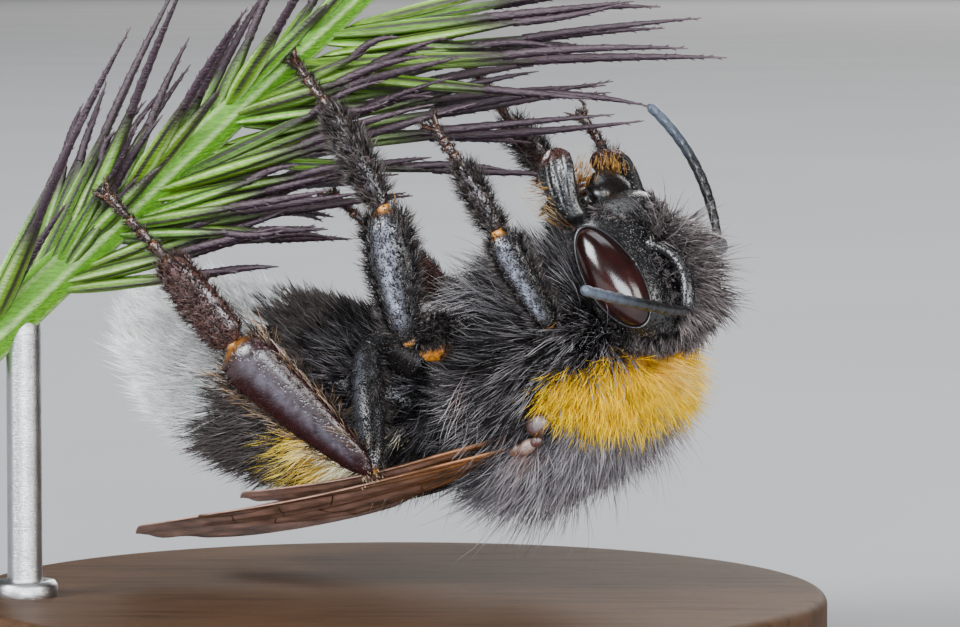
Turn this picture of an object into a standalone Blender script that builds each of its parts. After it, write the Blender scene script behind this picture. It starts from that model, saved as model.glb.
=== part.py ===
"""A worker buff-tailed bumblebee, life size and still, hanging belly up from a cut length of
awned grass that a plain display stand holds. Sizes are in millimetres until placed() turns them
into metres, and every solid of the bee reaches out to the tips of its coat.

The bee has a frame of its own: x runs forward, y to its left and z out of its back, with the
origin in the middle of its thorax. The head and the abdomen hang from that frame."""
import math

import bmesh
import bpy
from mathutils import Euler, Matrix, Vector

MM = 0.001
GAP = 0.04  # clearance between neighbouring solids
MERGE = 0.001  # points closer than this are one point
FORWARD = Vector((1, 0, 0))
LEFT = Vector((0, 1, 0))
UP = Vector((0, 0, 1))

# Where the bee hangs, and how it is turned: on its back, head up and turned to the front.
THORAX_AT = Vector((3.84, 0.0, 7.19))
THORAX_TURN = Euler((math.pi, math.radians(-36), math.radians(-26)), "XYZ")
HEAD_AT = Vector((2.95, 0.2, -0.3))
HEAD_TURN = math.radians(7)
ABDOMEN_AT = Vector((-5.7, 0.0, -3.6))
ABDOMEN_PITCH = math.radians(-47)

# Half lengths of the body's three masses, coat included: along, across, up, down.
THORAX_HALF = (3.25, 3.3, 3.1, 2.75)
HEAD_HALF = (1.6, 1.95, 2.25, 2.1)
ABDOMEN_HALF = (4.95, 3.0, 2.8, 2.15)
ABDOMEN_BEND = 13.0  # radius of the arc that the abdomen curls along

# Hair that stands past the thorax's oval: which way, how far, and how narrow the swelling is.
SCUTELLUM_WAY = Vector((-0.86, 0.0, 0.51))
SCUTELLUM_TUFT = 0.75
COLLAR_WAY = Vector((0.86, 0.0, 0.5))
COLLAR_RUFF = 0.3
SWELLING_POWER = 6

# The head is a flattened box with round corners, which narrows to the mouth.
HEAD_SQUARENESS = 0.82
MOUTH_NARROWER = 0.28
MOUTH_SHALLOWER = 0.3
NAPE_DEPTH = 0.72

# How full the abdomen's two ends are: under 1 is blunt, over 1 is drawn out.
ABDOMEN_FRONT = 0.75
ABDOMEN_TAIL = 1.1

# Eyes, in the head's frame: long ovals that narrow a little toward the mouth.
EYE_AT = Vector((0.34, 1.68, -0.2))
EYE_HALF = (0.6, 0.48, 1.3)
EYE_TILT = math.radians(-27)
EYE_NARROWER = 0.12

# Mouthparts and feelers, in the head's frame: where each starts and ends, and its size.
MANDIBLE = {
    "left": (Vector((0.2, 1.5, -1.95)), Vector((0.65, 1.4, -3.4))),
    "right": (Vector((0.2, -1.45, -1.95)), Vector((0.6, -0.55, -3.15))),
}
MANDIBLE_WIDTHS = (0.855, 0.95, 0.76)
MANDIBLE_FLATNESS = 0.53
PROBOSCIS = (Vector((0.55, 0.0, -2.35)), Vector((-1.3, -0.05, -2.75)))
PROBOSCIS_WIDTHS = (0.9, 0.72, 0.56)
PROBOSCIS_FLATNESS = 0.69
SCAPE = {
    "left": (Vector((1.05, 0.62, -0.45)), Vector((1.5, 1.15, 1.5))),
    "right": (Vector((1.5, -0.6, -0.45)), Vector((0.9, -2.75, -0.2))),
}
SCAPE_WIDTHS = (0.5, 0.5, 0.575)
FLAGELLUM = {
    "left": (Vector((1.6, 1.5, 1.6)), Vector((1.85, 3.3, 1.1)), Vector((1.7, 5.1, 0.45))),
    "right": (Vector((0.8, -3.05, -0.45)), Vector((1.0, -3.35, -2.2)), Vector((0.85, -3.3, -4.0))),
}
FLAGELLUM_RADIUS = 0.25
FLAGELLUM_STEPS = 6

# Wings, in the bee's frame: where each root is, which way it points, and how the blade tilts.
WING_ROOT = Vector((-0.84, 2.05, 1.39))
WING_TOWARDS = Vector((-9.6, 4.06, -2.45))
WING_TILT = math.radians(12)
WING_THICK = 0.5
FOREWING_LONG = 10.0
FOREWING_CHORD = 3.1
HINDWING_LONG = 6.7
HINDWING_CHORD = 2.0
HINDWING_SHIFT = (0.5, 0.1)
TEGULA_AT = Vector((-0.1, 2.55, 1.35))
TEGULA_HALF = (0.55, 0.32, 0.5, 0.5)

# Joints of each leg, in the bee's frame: hip, knee, ankle, end of the first foot joint, claws.
LEGS = {
    "fore_left": ((1.2, 1.1, -2.2), (1.51, 2.72, -0.3), (2.03, 3.6, -2.54), (2.3, 3.88, -4.27),
                  (2.26, 3.93, -5.58)),
    "fore_right": ((1.2, -1.1, -2.2), (1.51, -2.72, -0.3), (2.03, -3.6, -2.54),
                   (2.3, -3.88, -4.27), (2.26, -3.93, -5.58)),
    "mid_left": ((-0.9, 1.75, -1.8), (-0.88, 4.49, -1.63), (0.61, 4.98, -4.25),
                 (0.85, 5.0, -6.75), (0.4, 4.27, -8.68)),
    "mid_right": ((-0.9, -1.75, -1.8), (-0.6, -4.4, -1.3), (0.6, -4.4, -4.1),
                  (0.9, -3.3, -6.2), (1.25, -2.2, -7.8)),
    "hind_left": ((-2.62, 2.48, -2.7), (-3.5, 4.21, 0.22), (-3.97, 5.76, -3.75),
                  (-4.0, 6.24, -6.17), (-4.21, 6.73, -8.37)),
    "hind_right": ((-2.62, -2.48, -2.7), (-3.4, -4.4, -0.1), (-3.9, -5.3, -4.1),
                   (-3.7, -3.6, -5.8), (-3.6, -2.2, -7.4)),
}
# Width at the top, the middle and the end of each leg piece, and how flat it is.
LEG_SIZES = {
    "fore": {"femur": ((0.62, 0.85, 0.6), 0.85), "tibia": ((0.55, 0.8, 0.88), 0.8),
             "basitarsus": ((0.7, 0.72, 0.55), 0.8)},
    "mid": {"femur": ((0.6, 0.9, 0.62), 0.8), "tibia": ((0.7, 1.3, 1.35), 0.65),
            "basitarsus": ((1.0, 1.05, 0.8), 0.7)},
    "hind": {"femur": ((0.7, 0.98, 0.62), 0.8), "tibia": ((0.62, 1.3, 1.7), 0.45),
             "basitarsus": ((1.15, 1.15, 0.85), 0.55)},
}
LIMB_BLUNTNESS = 0.45  # the smaller, the squarer a limb's ends
LIMB_THINNEST = 0.25  # the least half thickness of a limb
TARSUS_RADII = (0.28, 0.25, 0.25)
TARSUS_BEND_AT = 0.6

# The grass: its stalk from end to end, and each awned spikelet by where it leaves the stalk,
# how steeply it climbs, how far it swings to the front (degrees), and how long it is.
STALK_ENDS = (Vector((-9.8, -1.0, 7.3)), Vector((-0.4, -1.0, 16.1)))
STALK_RADII = (0.55, 0.36)
SPIKELETS = (
    (10.0, 1, 3, 10.1),
    (10.9, 5, -3, 8.0),
    (8.2, 15, 19, 5.9),
    (7.0, 4, -8, 10.6),
    (5.6, 16, 12, 8.1),
    (4.5, 9, 16, 6.2),
    (2.6, 13, 7, 6.4),
    (0.9, 52, 10, 6.6),
    (2.0, 66, -30, 6.2),
    (4.3, 6, -27, 8.0),
    (9.5, 5, -38.5, 8.2),
    (8.2, 3, -29, 10.2),
    (5.8, -1, -53, 8.6),
)
SPIKELET_WIDTHS = (0.5, 1.05, 1.1, 0.8, 0.6, 0.5, 0.5)
SPIKELET_FLATNESS = 0.8

# The stand.
BASE_RADIUS = 10.0
BASE_TALL = 2.0
BASE_EDGE = 0.25
BASE_SIDES = 48
ROD_RADIUS = 0.4
ROD_STATION = 1.9  # how far along the stalk the rod holds it

# How finely each kind of piece is faceted: round it, and along it.
BODY_DETAIL = (22, 14)
EYE_DETAIL = (12, 8)
TEGULA_DETAIL = (10, 6)
LIMB_DETAIL = (8, 7)
SPIKELET_DETAIL = (6, 8)
TUBE_DETAIL = 2
OUTLINE_DETAIL = 3

# Looks: linear colour, roughness and metallic value.
LOOKS = {
    "coat": ((0.012, 0.01, 0.009), 0.9, 0.0),
    "shell": ((0.01, 0.008, 0.008), 0.3, 0.0),
    "foot": ((0.05, 0.02, 0.01), 0.5, 0.0),
    "eye": ((0.03, 0.008, 0.008), 0.12, 0.0),
    "wing": ((0.2, 0.11, 0.05), 0.35, 0.0),
    "grass": ((0.12, 0.25, 0.03), 0.6, 0.0),
    "wood": ((0.05, 0.03, 0.02), 0.5, 0.0),
    "steel": ((0.5, 0.5, 0.5), 0.3, 1.0),
}
PARTS = "bumblebee"
CUTTERS = "cutters"
SIDES = {"left": 1.0, "right": -1.0}


def material(name, colour, roughness, metallic):
    """A Principled material of the piece's own."""
    made = bpy.data.materials.new(name)
    made.use_nodes = True
    shader = made.node_tree.nodes["Principled BSDF"]
    shader.inputs["Base Color"].default_value = (*colour, 1.0)
    shader.inputs["Roughness"].default_value = roughness
    shader.inputs["Metallic"].default_value = metallic
    return made


def placed(name, data, parent, place, kind):
    """Adds an object made of data at place in parent's frame; one without a kind is a cutter."""
    made = bpy.data.objects.new(name, data)
    bpy.data.collections[PARTS if kind else CUTTERS].objects.link(made)
    local = place.copy()
    local.translation = place.translation * MM
    made.parent = parent
    made.matrix_local = local
    if kind:
        data.materials.append(material(f"{name}_{kind}", *LOOKS[kind]))
    else:
        made.hide_render = True
        made.display_type = "WIRE"
    return made


def frame_object(name, parent, place):
    """An empty that carries one part of the body's frame."""
    made = bpy.data.objects.new(name, None)
    bpy.data.collections[CUTTERS].objects.link(made)
    local = place.copy()
    local.translation = place.translation * MM
    made.parent = parent
    made.matrix_local = local
    return made


def ball(name, shape, detail, parent, place, kind):
    """A sphere whose points are moved by shape(unit point), which answers in millimetres."""
    bm = bmesh.new()
    around, along = detail
    bmesh.ops.create_uvsphere(bm, u_segments=around, v_segments=along, radius=1.0)
    for vert in bm.verts:
        vert.co = shape(vert.co.copy()) * MM
    data = bpy.data.meshes.new(name)
    bm.to_mesh(data)
    bm.free()
    data.shade_smooth()
    return placed(name, data, parent, place, kind)


def between(widths, share):
    """A width that runs evenly through the given ones as share goes from 0 to 1."""
    spot = share * (len(widths) - 1)
    step = min(int(spot), len(widths) - 2)
    return widths[step] + (widths[step + 1] - widths[step]) * (spot - step)


def frame_along(start, end, face):
    """A frame at start whose z runs to end, with x across the flat side that faces face."""
    along = (end - start).normalized()
    across = face.cross(along).normalized()
    out = along.cross(across)
    return Matrix.Translation(start) @ Matrix((across, out, along)).transposed().to_4x4()


def limb(name, parent, ends, sizes, face, kind, detail=LIMB_DETAIL, grow=0.0):
    """A blunt-ended piece from one joint to the next; grow fattens it, for a cutter."""
    start, end = ends
    widths, flatness = sizes
    length = (end - start).length

    def shape(unit):
        share = (unit.z + 1) / 2
        ring = math.hypot(unit.x, unit.y)
        high = share * length + unit.z * grow
        if ring < MERGE:
            return Vector((0, 0, high))
        wide = between(widths, share) / 2 * ring**LIMB_BLUNTNESS
        deep = max(wide * flatness, min(wide, LIMB_THINNEST)) + grow
        wide += grow
        return Vector((unit.x / ring * wide, unit.y / ring * deep, high))

    return ball(name, shape, detail, parent, frame_along(start, end, face), kind)


def tube(name, points, radii, parent, kind):
    """A round rod through points, with its own radius at each."""
    curve = bpy.data.curves.new(name, "CURVE")
    curve.dimensions = "3D"
    curve.bevel_depth = MM
    curve.bevel_resolution = TUBE_DETAIL
    curve.use_fill_caps = True
    spline = curve.splines.new("POLY")
    spline.points.add(len(points) - 1)
    for spot, point, radius in zip(spline.points, points, radii):
        spot.co = (*(point * MM), 1.0)
        spot.radius = radius
    return placed(name, curve, parent, Matrix.Identity(4), kind)


def outline(name, points, thick, parent, place, kind):
    """A flat plate: a closed smooth outline in the frame's x and y, thick along its z."""
    curve = bpy.data.curves.new(name, "CURVE")
    curve.dimensions = "2D"
    curve.fill_mode = "BOTH"
    curve.extrude = thick / 2 * MM
    curve.resolution_u = OUTLINE_DETAIL
    spline = curve.splines.new("BEZIER")
    spline.use_cyclic_u = True
    spline.bezier_points.add(len(points) - 1)
    for spot, (x, y) in zip(spline.bezier_points, points):
        spot.co = (x * MM, y * MM, 0)
        spot.handle_left_type = "AUTO"
        spot.handle_right_type = "AUTO"
    return placed(name, curve, parent, place, kind)


def meshed(curve_object):
    """The curve turned into a closed mesh, which a Boolean can use."""
    bpy.context.view_layer.update()
    graph = bpy.context.evaluated_depsgraph_get()
    data = bpy.data.meshes.new_from_object(curve_object.evaluated_get(graph))
    bm = bmesh.new()
    bm.from_mesh(data)
    bmesh.ops.remove_doubles(bm, verts=bm.verts, dist=MERGE * MM)
    bmesh.ops.triangulate(bm, faces=bm.faces)
    bmesh.ops.recalc_face_normals(bm, faces=bm.faces)
    bm.to_mesh(data)
    bm.free()
    name = curve_object.name
    hidden = curve_object.hide_render
    frame = curve_object.matrix_world.copy()
    looks = list(curve_object.data.materials)
    owner = curve_object.users_collection[0]
    bpy.data.objects.remove(curve_object)
    made = bpy.data.objects.new(name, data)
    owner.objects.link(made)
    made.matrix_world = frame
    made.hide_render = hidden
    made.display_type = "WIRE" if hidden else "TEXTURED"
    data.materials.clear()
    for look in looks:
        data.materials.append(look)
    return made


def cut(target, cutter):
    """Takes cutter's shape out of target."""
    made = target.modifiers.new("clear of " + cutter.name, "BOOLEAN")
    made.operation = "DIFFERENCE"
    made.solver = "EXACT"
    made.object = cutter


def fitted(name, parent, ends, sizes, face, kind, bodies):
    """Makes a limb, and takes it with its clearance out of the bodies that it enters."""
    if bodies:
        fat = limb(name + "_cutter", parent, ends, sizes, face, None, grow=GAP)
        for owner in bodies:
            cut(owner, fat)
    return limb(name, parent, ends, sizes, face, kind)


def arc_through(start, middle, end, steps):
    """Points of the parabola that leaves start, passes middle and reaches end."""
    bend = middle * 2 - (start + end) / 2
    shares = [step / steps for step in range(steps + 1)]
    return [start * (1 - t) ** 2 + bend * 2 * t * (1 - t) + end * t**2 for t in shares]


def oval(half, point):
    """A unit point pushed out to an oval with its own half height above and below."""
    along, across, up, down = half
    return Vector((point.x * along, point.y * across, point.z * (up if point.z > 0 else down)))


def turned(unit):
    """The sphere's poles laid along x, so that the rings run round the body."""
    return Vector((unit.z, unit.y, -unit.x))


def mirrored(point, side):
    return Vector((point.x, point.y * side, point.z))


def thorax_shape(grow=0.0):
    def shape(unit):
        way = turned(unit)
        point = oval(THORAX_HALF, way)
        swept = max(way.dot(SCUTELLUM_WAY), 0) ** SWELLING_POWER * SCUTELLUM_TUFT
        ruff = max(way.dot(COLLAR_WAY), 0) ** SWELLING_POWER * COLLAR_RUFF
        return point + SCUTELLUM_WAY * swept + COLLAR_WAY * ruff + way * grow

    return shape


def head_shape(grow=0.0):
    def shape(unit):
        way = Vector([math.copysign(abs(c) ** HEAD_SQUARENESS, c) for c in unit])
        point = oval(HEAD_HALF, way)
        mouth = max(-unit.z, 0) ** 2
        point.y *= 1 - MOUTH_NARROWER * mouth
        point.x *= 1 - MOUTH_SHALLOWER * mouth if unit.x > 0 else NAPE_DEPTH
        return point + unit * grow

    return shape


def abdomen_shape(grow=0.0):
    along, across, up, down = ABDOMEN_HALF

    def shape(unit):
        way = turned(unit)
        ring = math.hypot(way.y, way.z)
        full = ring ** (ABDOMEN_FRONT if way.x > 0 else ABDOMEN_TAIL)
        high = (up if way.z > 0 else down) * full + grow
        wide = across * full + grow
        y = way.y / ring * wide if ring > MERGE else 0.0
        z = way.z / ring * high if ring > MERGE else 0.0
        turn = way.x * (along + grow) / ABDOMEN_BEND
        reach = ABDOMEN_BEND + z
        return Vector((reach * math.sin(turn), y, reach * math.cos(turn) - ABDOMEN_BEND))

    return shape


def eye_shape(grow=0.0):
    along, across, up = EYE_HALF

    def shape(unit):
        narrow = 1 - EYE_NARROWER * max(-unit.z, 0)
        point = Vector((unit.x * along * narrow, unit.y * across, unit.z * up))
        return point + unit * grow

    return shape


def tegula_shape(grow=0.0):
    return lambda unit: oval(TEGULA_HALF, unit) + unit * grow


def add_body(bee, head, belly):
    """The thorax, the head and the abdomen; the thorax and abdomen make room for the other."""
    still = Matrix.Identity(4)
    trunk = ball("thorax", thorax_shape(), BODY_DETAIL, bee, still, "coat")
    skull = ball("head", head_shape(), BODY_DETAIL, head, still, "coat")
    tail = ball("abdomen", abdomen_shape(), BODY_DETAIL, belly, still, "coat")
    cut(trunk, ball("head_cutter", head_shape(GAP), BODY_DETAIL, head, still, None))
    cut(tail, ball("thorax_cutter", thorax_shape(GAP), BODY_DETAIL, bee, still, None))
    return trunk, skull, tail


def add_eyes(head, skull):
    for side, sign in SIDES.items():
        tilt = Matrix.Rotation(EYE_TILT * sign, 4, "Z")
        socket = Matrix.Translation(mirrored(EYE_AT, sign)) @ tilt
        ball("eye_" + side, eye_shape(), EYE_DETAIL, head, socket, "eye")
        cut(skull, ball("eye_cutter_" + side, eye_shape(GAP), EYE_DETAIL, head, socket, None))


def add_mouth(head, skull, trunk):
    sizes = (MANDIBLE_WIDTHS, MANDIBLE_FLATNESS)
    for side in SIDES:
        fitted("mandible_" + side, head, MANDIBLE[side], sizes, LEFT, "shell", [skull])
    sizes = (PROBOSCIS_WIDTHS, PROBOSCIS_FLATNESS)
    fitted("proboscis", head, PROBOSCIS, sizes, UP, "shell", [skull, trunk])


def add_feelers(head, skull):
    for side in SIDES:
        fitted("scape_" + side, head, SCAPE[side], (SCAPE_WIDTHS, 1.0), FORWARD, "shell", [skull])
        bends = arc_through(*FLAGELLUM[side], FLAGELLUM_STEPS)
        tube("flagellum_" + side, bends, [FLAGELLUM_RADIUS] * len(bends), head, "shell")


def add_leg(leg, bee, trunk, tail):
    """One leg, from the hip to the claws, let into the bodies and the joints that it meets."""
    pair, side = leg.split("_")
    hip, knee, ankle, toe, claw = (Vector(joint) for joint in LEGS[leg])
    outward = LEFT * SIDES[side]
    sizes = LEG_SIZES[pair]
    hind = pair == "hind"
    body = tail if hind else trunk
    femur = fitted("femur_" + leg, bee, (hip, knee), sizes["femur"], outward, "shell", [body])
    met = [femur] if hind else [trunk, femur]
    tibia = fitted("tibia_" + leg, bee, (knee, ankle), sizes["tibia"], outward, "shell", met)
    fitted("basitarsus_" + leg, bee, (ankle, toe), sizes["basitarsus"], outward, "foot", [tibia])
    reach = (claw - toe).normalized()
    bends = [toe + reach * GAP, toe + reach * TARSUS_BEND_AT, claw]
    tube("tarsus_" + leg, bends, TARSUS_RADII, bee, "foot")


def wing_outline(long, chord):
    """A wing seen flat: leading edge along y = 0, trailing edge at -chord."""
    return (
        (0.0, 0.2),
        (long * 0.45, 0.1),
        (long * 0.85, -0.1),
        (long, -chord * 0.4),
        (long * 0.9, -chord * 0.85),
        (long * 0.66, -chord),
        (long * 0.4, -chord * 0.8),
        (long * 0.15, -chord * 0.36),
        (0.0, -0.35),
    )


def wing_place(side):
    """Where a wing pair is: x to the tip, -y to the trailing edge; and which z is its top."""
    root = mirrored(WING_ROOT, side)
    along = (mirrored(WING_TOWARDS, side) - root).normalized()
    inward = LEFT * -side
    inward = (inward - along * inward.dot(along)).normalized()
    upward = along.cross(inward) * side
    chord = inward * math.cos(WING_TILT) + upward * math.sin(WING_TILT)
    normal = along.cross(-chord)
    axes = Matrix((along, -chord, normal)).transposed().to_4x4()
    return Matrix.Translation(root) @ axes, math.copysign(1, normal.dot(upward))


def add_wings(bee, trunk, tail):
    """Both wing pairs, each hindwing just under its forewing, and the slots for their roots."""
    cutters = []
    for side, sign in SIDES.items():
        place, top = wing_place(sign)
        under = Matrix.Translation((*HINDWING_SHIFT, -top * (WING_THICK + GAP)))
        blades = {
            "forewing_": (place, FOREWING_LONG, FOREWING_CHORD),
            "hindwing_": (place @ under, HINDWING_LONG, HINDWING_CHORD),
        }
        for name, (spot, long, chord) in blades.items():
            points = wing_outline(long, chord)
            outline(name + side, points, WING_THICK, bee, spot, "wing")
            thick = WING_THICK + 2 * GAP
            cutters.append(meshed(outline(name + side + "_cutter", points, thick, bee, spot, None)))
    for cutter in cutters:
        cut(trunk, cutter)
    for cutter in reversed(cutters):
        cut(tail, cutter)


def add_tegulae(bee, trunk):
    """The small plates over the wing roots."""
    for side, sign in SIDES.items():
        place = Matrix.Translation(mirrored(TEGULA_AT, sign))
        ball("tegula_" + side, tegula_shape(), TEGULA_DETAIL, bee, place, "shell")
        fat = ball("tegula_cutter_" + side, tegula_shape(GAP), TEGULA_DETAIL, bee, place, None)
        cut(trunk, fat)


def add_grass(start, way, end):
    """The cut stalk with its spikelets; returns the stalk's own clearance as a cutter."""
    tube("perch_stalk", [start, end], STALK_RADII, None, "grass")
    fat = [radius + GAP for radius in STALK_RADII]
    hollow = meshed(tube("stalk_cutter", [start - way, end + way], fat, None, None))
    for count, (station, climb, swing, length) in enumerate(SPIKELETS, 1):
        turn = Euler((0, -math.radians(climb), -math.radians(swing)), "ZYX").to_matrix()
        root = start + way * station
        ends = (root, root + turn @ FORWARD * length)
        sizes = (SPIKELET_WIDTHS, SPIKELET_FLATNESS)
        name = f"perch_spikelet_{count}"
        cut(limb(name, None, ends, sizes, UP, "grass", SPIKELET_DETAIL), hollow)
    return hollow


def add_stand(hold, hollow):
    """A round base, and a rod from it to the stalk, which rests on the rod's hollowed end."""
    bm = bmesh.new()
    bmesh.ops.create_cone(bm, cap_ends=True, segments=BASE_SIDES, radius1=BASE_RADIUS * MM,
                          radius2=BASE_RADIUS * MM, depth=BASE_TALL * MM)
    data = bpy.data.meshes.new("stand_base")
    bm.to_mesh(data)
    bm.free()
    base = placed("stand_base", data, None, Matrix.Translation((0, 0, BASE_TALL / 2)), "wood")
    edge = base.modifiers.new("worn edge", "BEVEL")
    edge.width = BASE_EDGE * MM
    edge.segments = 1
    edge.limit_method = "ANGLE"
    foot = Vector((hold.x, hold.y, BASE_TALL + GAP / 2))
    rod = meshed(tube("stand_rod", [foot, hold], [ROD_RADIUS] * 2, None, "steel"))
    cut(rod, hollow)


def build():
    """Models the bee, the grass and the stand."""
    for old in list(bpy.data.objects):
        bpy.data.objects.remove(old)
    for name in (PARTS, CUTTERS):
        bpy.context.scene.collection.children.link(bpy.data.collections.new(name))

    turn = THORAX_TURN.to_matrix().to_4x4()
    bee = frame_object("bee_frame", None, Matrix.Translation(THORAX_AT) @ turn)
    turn = Matrix.Rotation(HEAD_TURN, 4, "Z")
    head = frame_object("head_frame", bee, Matrix.Translation(HEAD_AT) @ turn)
    turn = Matrix.Rotation(ABDOMEN_PITCH, 4, "Y")
    belly = frame_object("abdomen_frame", bee, Matrix.Translation(ABDOMEN_AT) @ turn)

    trunk, skull, tail = add_body(bee, head, belly)
    add_eyes(head, skull)
    add_mouth(head, skull, trunk)
    add_feelers(head, skull)
    for leg in LEGS:
        add_leg(leg, bee, trunk, tail)
    add_wings(bee, trunk, tail)
    add_tegulae(bee, trunk)

    start, end = STALK_ENDS
    way = (end - start).normalized()
    hollow = add_grass(start, way, end)
    add_stand(start + way * ROD_STATION, hollow)


build()
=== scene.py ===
"""The looks of a life-size bumblebee that hangs belly up from awned grass on a display stand.

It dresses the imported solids: one skin for head, thorax and abdomen, a coat of solid hairs in
tufts, eyes, mouth, feelers, legs, wings, grass and stand. Sizes are in millimetres until
add_mesh() turns them into metres. As in the solids there are three frames: the bee's (x forward,
y to its left, z out of its back), the head's and the abdomen's."""

import math

import bpy
import numpy as np
from mathutils import Euler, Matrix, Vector


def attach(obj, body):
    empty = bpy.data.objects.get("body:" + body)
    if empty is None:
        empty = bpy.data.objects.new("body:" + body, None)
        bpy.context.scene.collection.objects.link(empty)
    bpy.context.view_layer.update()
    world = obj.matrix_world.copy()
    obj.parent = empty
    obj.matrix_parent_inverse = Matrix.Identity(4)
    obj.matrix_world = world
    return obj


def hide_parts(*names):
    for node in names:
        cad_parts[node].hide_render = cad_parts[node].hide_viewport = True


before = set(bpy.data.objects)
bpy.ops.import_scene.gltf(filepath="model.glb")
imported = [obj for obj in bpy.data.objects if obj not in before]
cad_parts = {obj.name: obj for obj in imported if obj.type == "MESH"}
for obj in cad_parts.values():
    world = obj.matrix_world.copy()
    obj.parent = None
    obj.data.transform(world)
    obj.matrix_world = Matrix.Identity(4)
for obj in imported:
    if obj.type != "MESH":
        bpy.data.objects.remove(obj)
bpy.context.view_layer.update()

MM = 0.001
TAU = 2 * math.pi
SIDES = {"left": 1.0, "right": -1.0}
random = np.random.default_rng(11)

# ---------------------------------------------------------------- where the solids are
THORAX_AT = (3.84, 0.0, 7.19)
THORAX_TURN = (180, -36, -26)
HEAD_AT = (2.95, 0.2, -0.3)
HEAD_TURN = 7
ABDOMEN_AT = (-5.7, 0.0, -3.6)
ABDOMEN_PITCH = -47
ABDOMEN_BEND = 13.0
SCUTELLUM_WAY = (-0.86, 0.0, 0.51)
COLLAR_WAY = (0.86, 0.0, 0.5)

# Half lengths along, across, up and down: of the coat, and of the bare body under it.
THORAX_COAT = (3.25, 3.3, 3.1, 2.75)
THORAX_BARE = (2.3, 2.4, 1.95, 2.1)
ABDOMEN_BARE = (4.3, 2.45, 2.25, 1.65)
# The bare body's neck and waist, in the bee's frame: a route and the half width at each point.
NECK = (((1.6, 0.05, -0.2), (2.2, 0.1, -0.25), (2.9, 0.2, -0.3)), (0.95, 0.8, 0.95))
WAIST = (((-1.7, 0, -0.7), (-2.5, 0, -1.15), (-3.6, 0, -1.7)), (1.0, 0.62, 1.0))
SKIN_GRAIN = 0.075
SKIN_SOFTENING = 4
# Where the plates of the abdomen end, as places along its arc, front to back.
TERGITE_ENDS = (2.9, 0.75, -0.75, -2.0, -3.0, -3.8)
TERGITE_STEP = 0.035

# The bare head from the top of the head to the mouth: height, half width, front, back.
HEAD_STATIONS = (
    (1.62, 0.2, 0.2, 0.2),
    (1.5, 0.8, 0.55, 0.5),
    (1.15, 1.3, 0.85, 0.8),
    (0.6, 1.62, 1.02, 0.95),
    (0.0, 1.72, 1.08, 0.95),
    (-0.7, 1.7, 1.1, 0.85),
    (-1.3, 1.6, 1.1, 0.65),
    (-1.75, 1.45, 1.0, 0.45),
    (-2.0, 1.2, 0.8, 0.3),
    (-2.12, 0.8, 0.5, 0.15),
)
HEAD_SQUARENESS = 0.82  # the smaller, the squarer its section
# Swellings of the face: how far below the middle, half width, half height, how far out.
CLYPEUS_SWELL = (1.35, 0.8, 0.55, 0.24)
FACE_SWELL = (0.2, 0.5, 0.5, 0.08)
EYE_AT = (0.34, 1.68, -0.2)
EYE_HALF = (0.6, 0.48, 1.3)
EYE_TILT = -27
EYE_NARROWER = 0.12
RIM_THICK = 0.032
RIM_SPREAD = 1.02
OCELLI_AT = ((0.86, 0.0, 1.12), (0.7, 0.3, 1.3), (0.7, -0.3, 1.3))
OCELLUS_RADIUS = 0.11

MANDIBLE = {
    "left": ((0.15, 1.42, -1.72), (0.65, 1.4, -3.4)),
    "right": ((0.15, -1.42, -1.72), (0.6, -0.55, -3.15)),
}
PROBOSCIS = ((0.55, 0.0, -2.35), (-1.3, -0.05, -2.75))
LABRUM_AT = (0.5, -0.1, -2.25)
LABRUM_HALF = (0.36, 0.78, 0.5)
SCAPE = {
    "left": ((1.05, 0.62, -0.45), (1.52, 0.85, 0.4), (1.17, 1.15, 1.38)),
    "right": ((1.05, -0.6, -0.45), (1.25, -1.6, -0.15), (0.65, -2.75, -0.1)),
}
FLAGELLUM = {
    "left": ((1.17, 1.15, 1.38), (1.32, 3.1, 0.95), (1.49, 5.2, 0.36)),
    "right": ((0.6, -3.0, -0.35), (1.0, -3.35, -2.2), (0.85, -3.3, -4.0)),
}
FLAGELLUM_JOINTS = 11

WING_ROOT = (-0.84, 2.05, 1.39)
WING_TOWARDS = (-9.6, 4.06, -2.45)
WING_TILT = 12
# Length, chord, start along the wing's line and how far below the top face.
WINGS = {"forewing": (10.0, 3.1, 0.0, 0.0), "hindwing": (6.7, 2.0, 0.5, 0.26)}
MEMBRANE_HALF = 0.014
TEGULA_AT = (-0.1, 2.62, 1.3)
TEGULA_HALF = (0.36, 0.2, 0.3)

# Joints of each leg, in the bee's frame: hip, knee, ankle, end of the first foot joint, claws.
LEGS = {
    "fore_left": ((1.2, 1.1, -2.2), (1.51, 2.72, -0.3), (2.03, 3.6, -2.54), (2.3, 3.88, -4.27),
                  (2.26, 3.93, -5.58)),
    "fore_right": ((1.2, -1.1, -2.2), (1.51, -2.72, -0.3), (2.03, -3.6, -2.54),
                   (2.3, -3.88, -4.27), (2.26, -3.93, -5.58)),
    "mid_left": ((-0.9, 1.75, -1.8), (-0.88, 4.49, -1.63), (0.61, 4.98, -4.25),
                 (0.85, 5.0, -6.75), (0.4, 4.27, -8.68)),
    "mid_right": ((-0.9, -1.75, -1.8), (-0.6, -4.4, -1.3), (0.6, -4.4, -4.1),
                  (0.9, -3.3, -6.2), (1.25, -2.2, -7.8)),
    "hind_left": ((-2.62, 2.48, -2.7), (-3.5, 4.21, 0.22), (-3.97, 5.76, -3.75),
                  (-4.0, 6.24, -6.17), (-4.21, 6.73, -8.37)),
    "hind_right": ((-2.62, -2.48, -2.7), (-3.4, -4.4, -0.1), (-3.9, -5.3, -4.1),
                   (-3.7, -3.6, -5.8), (-3.6, -2.2, -7.4)),
}
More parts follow.
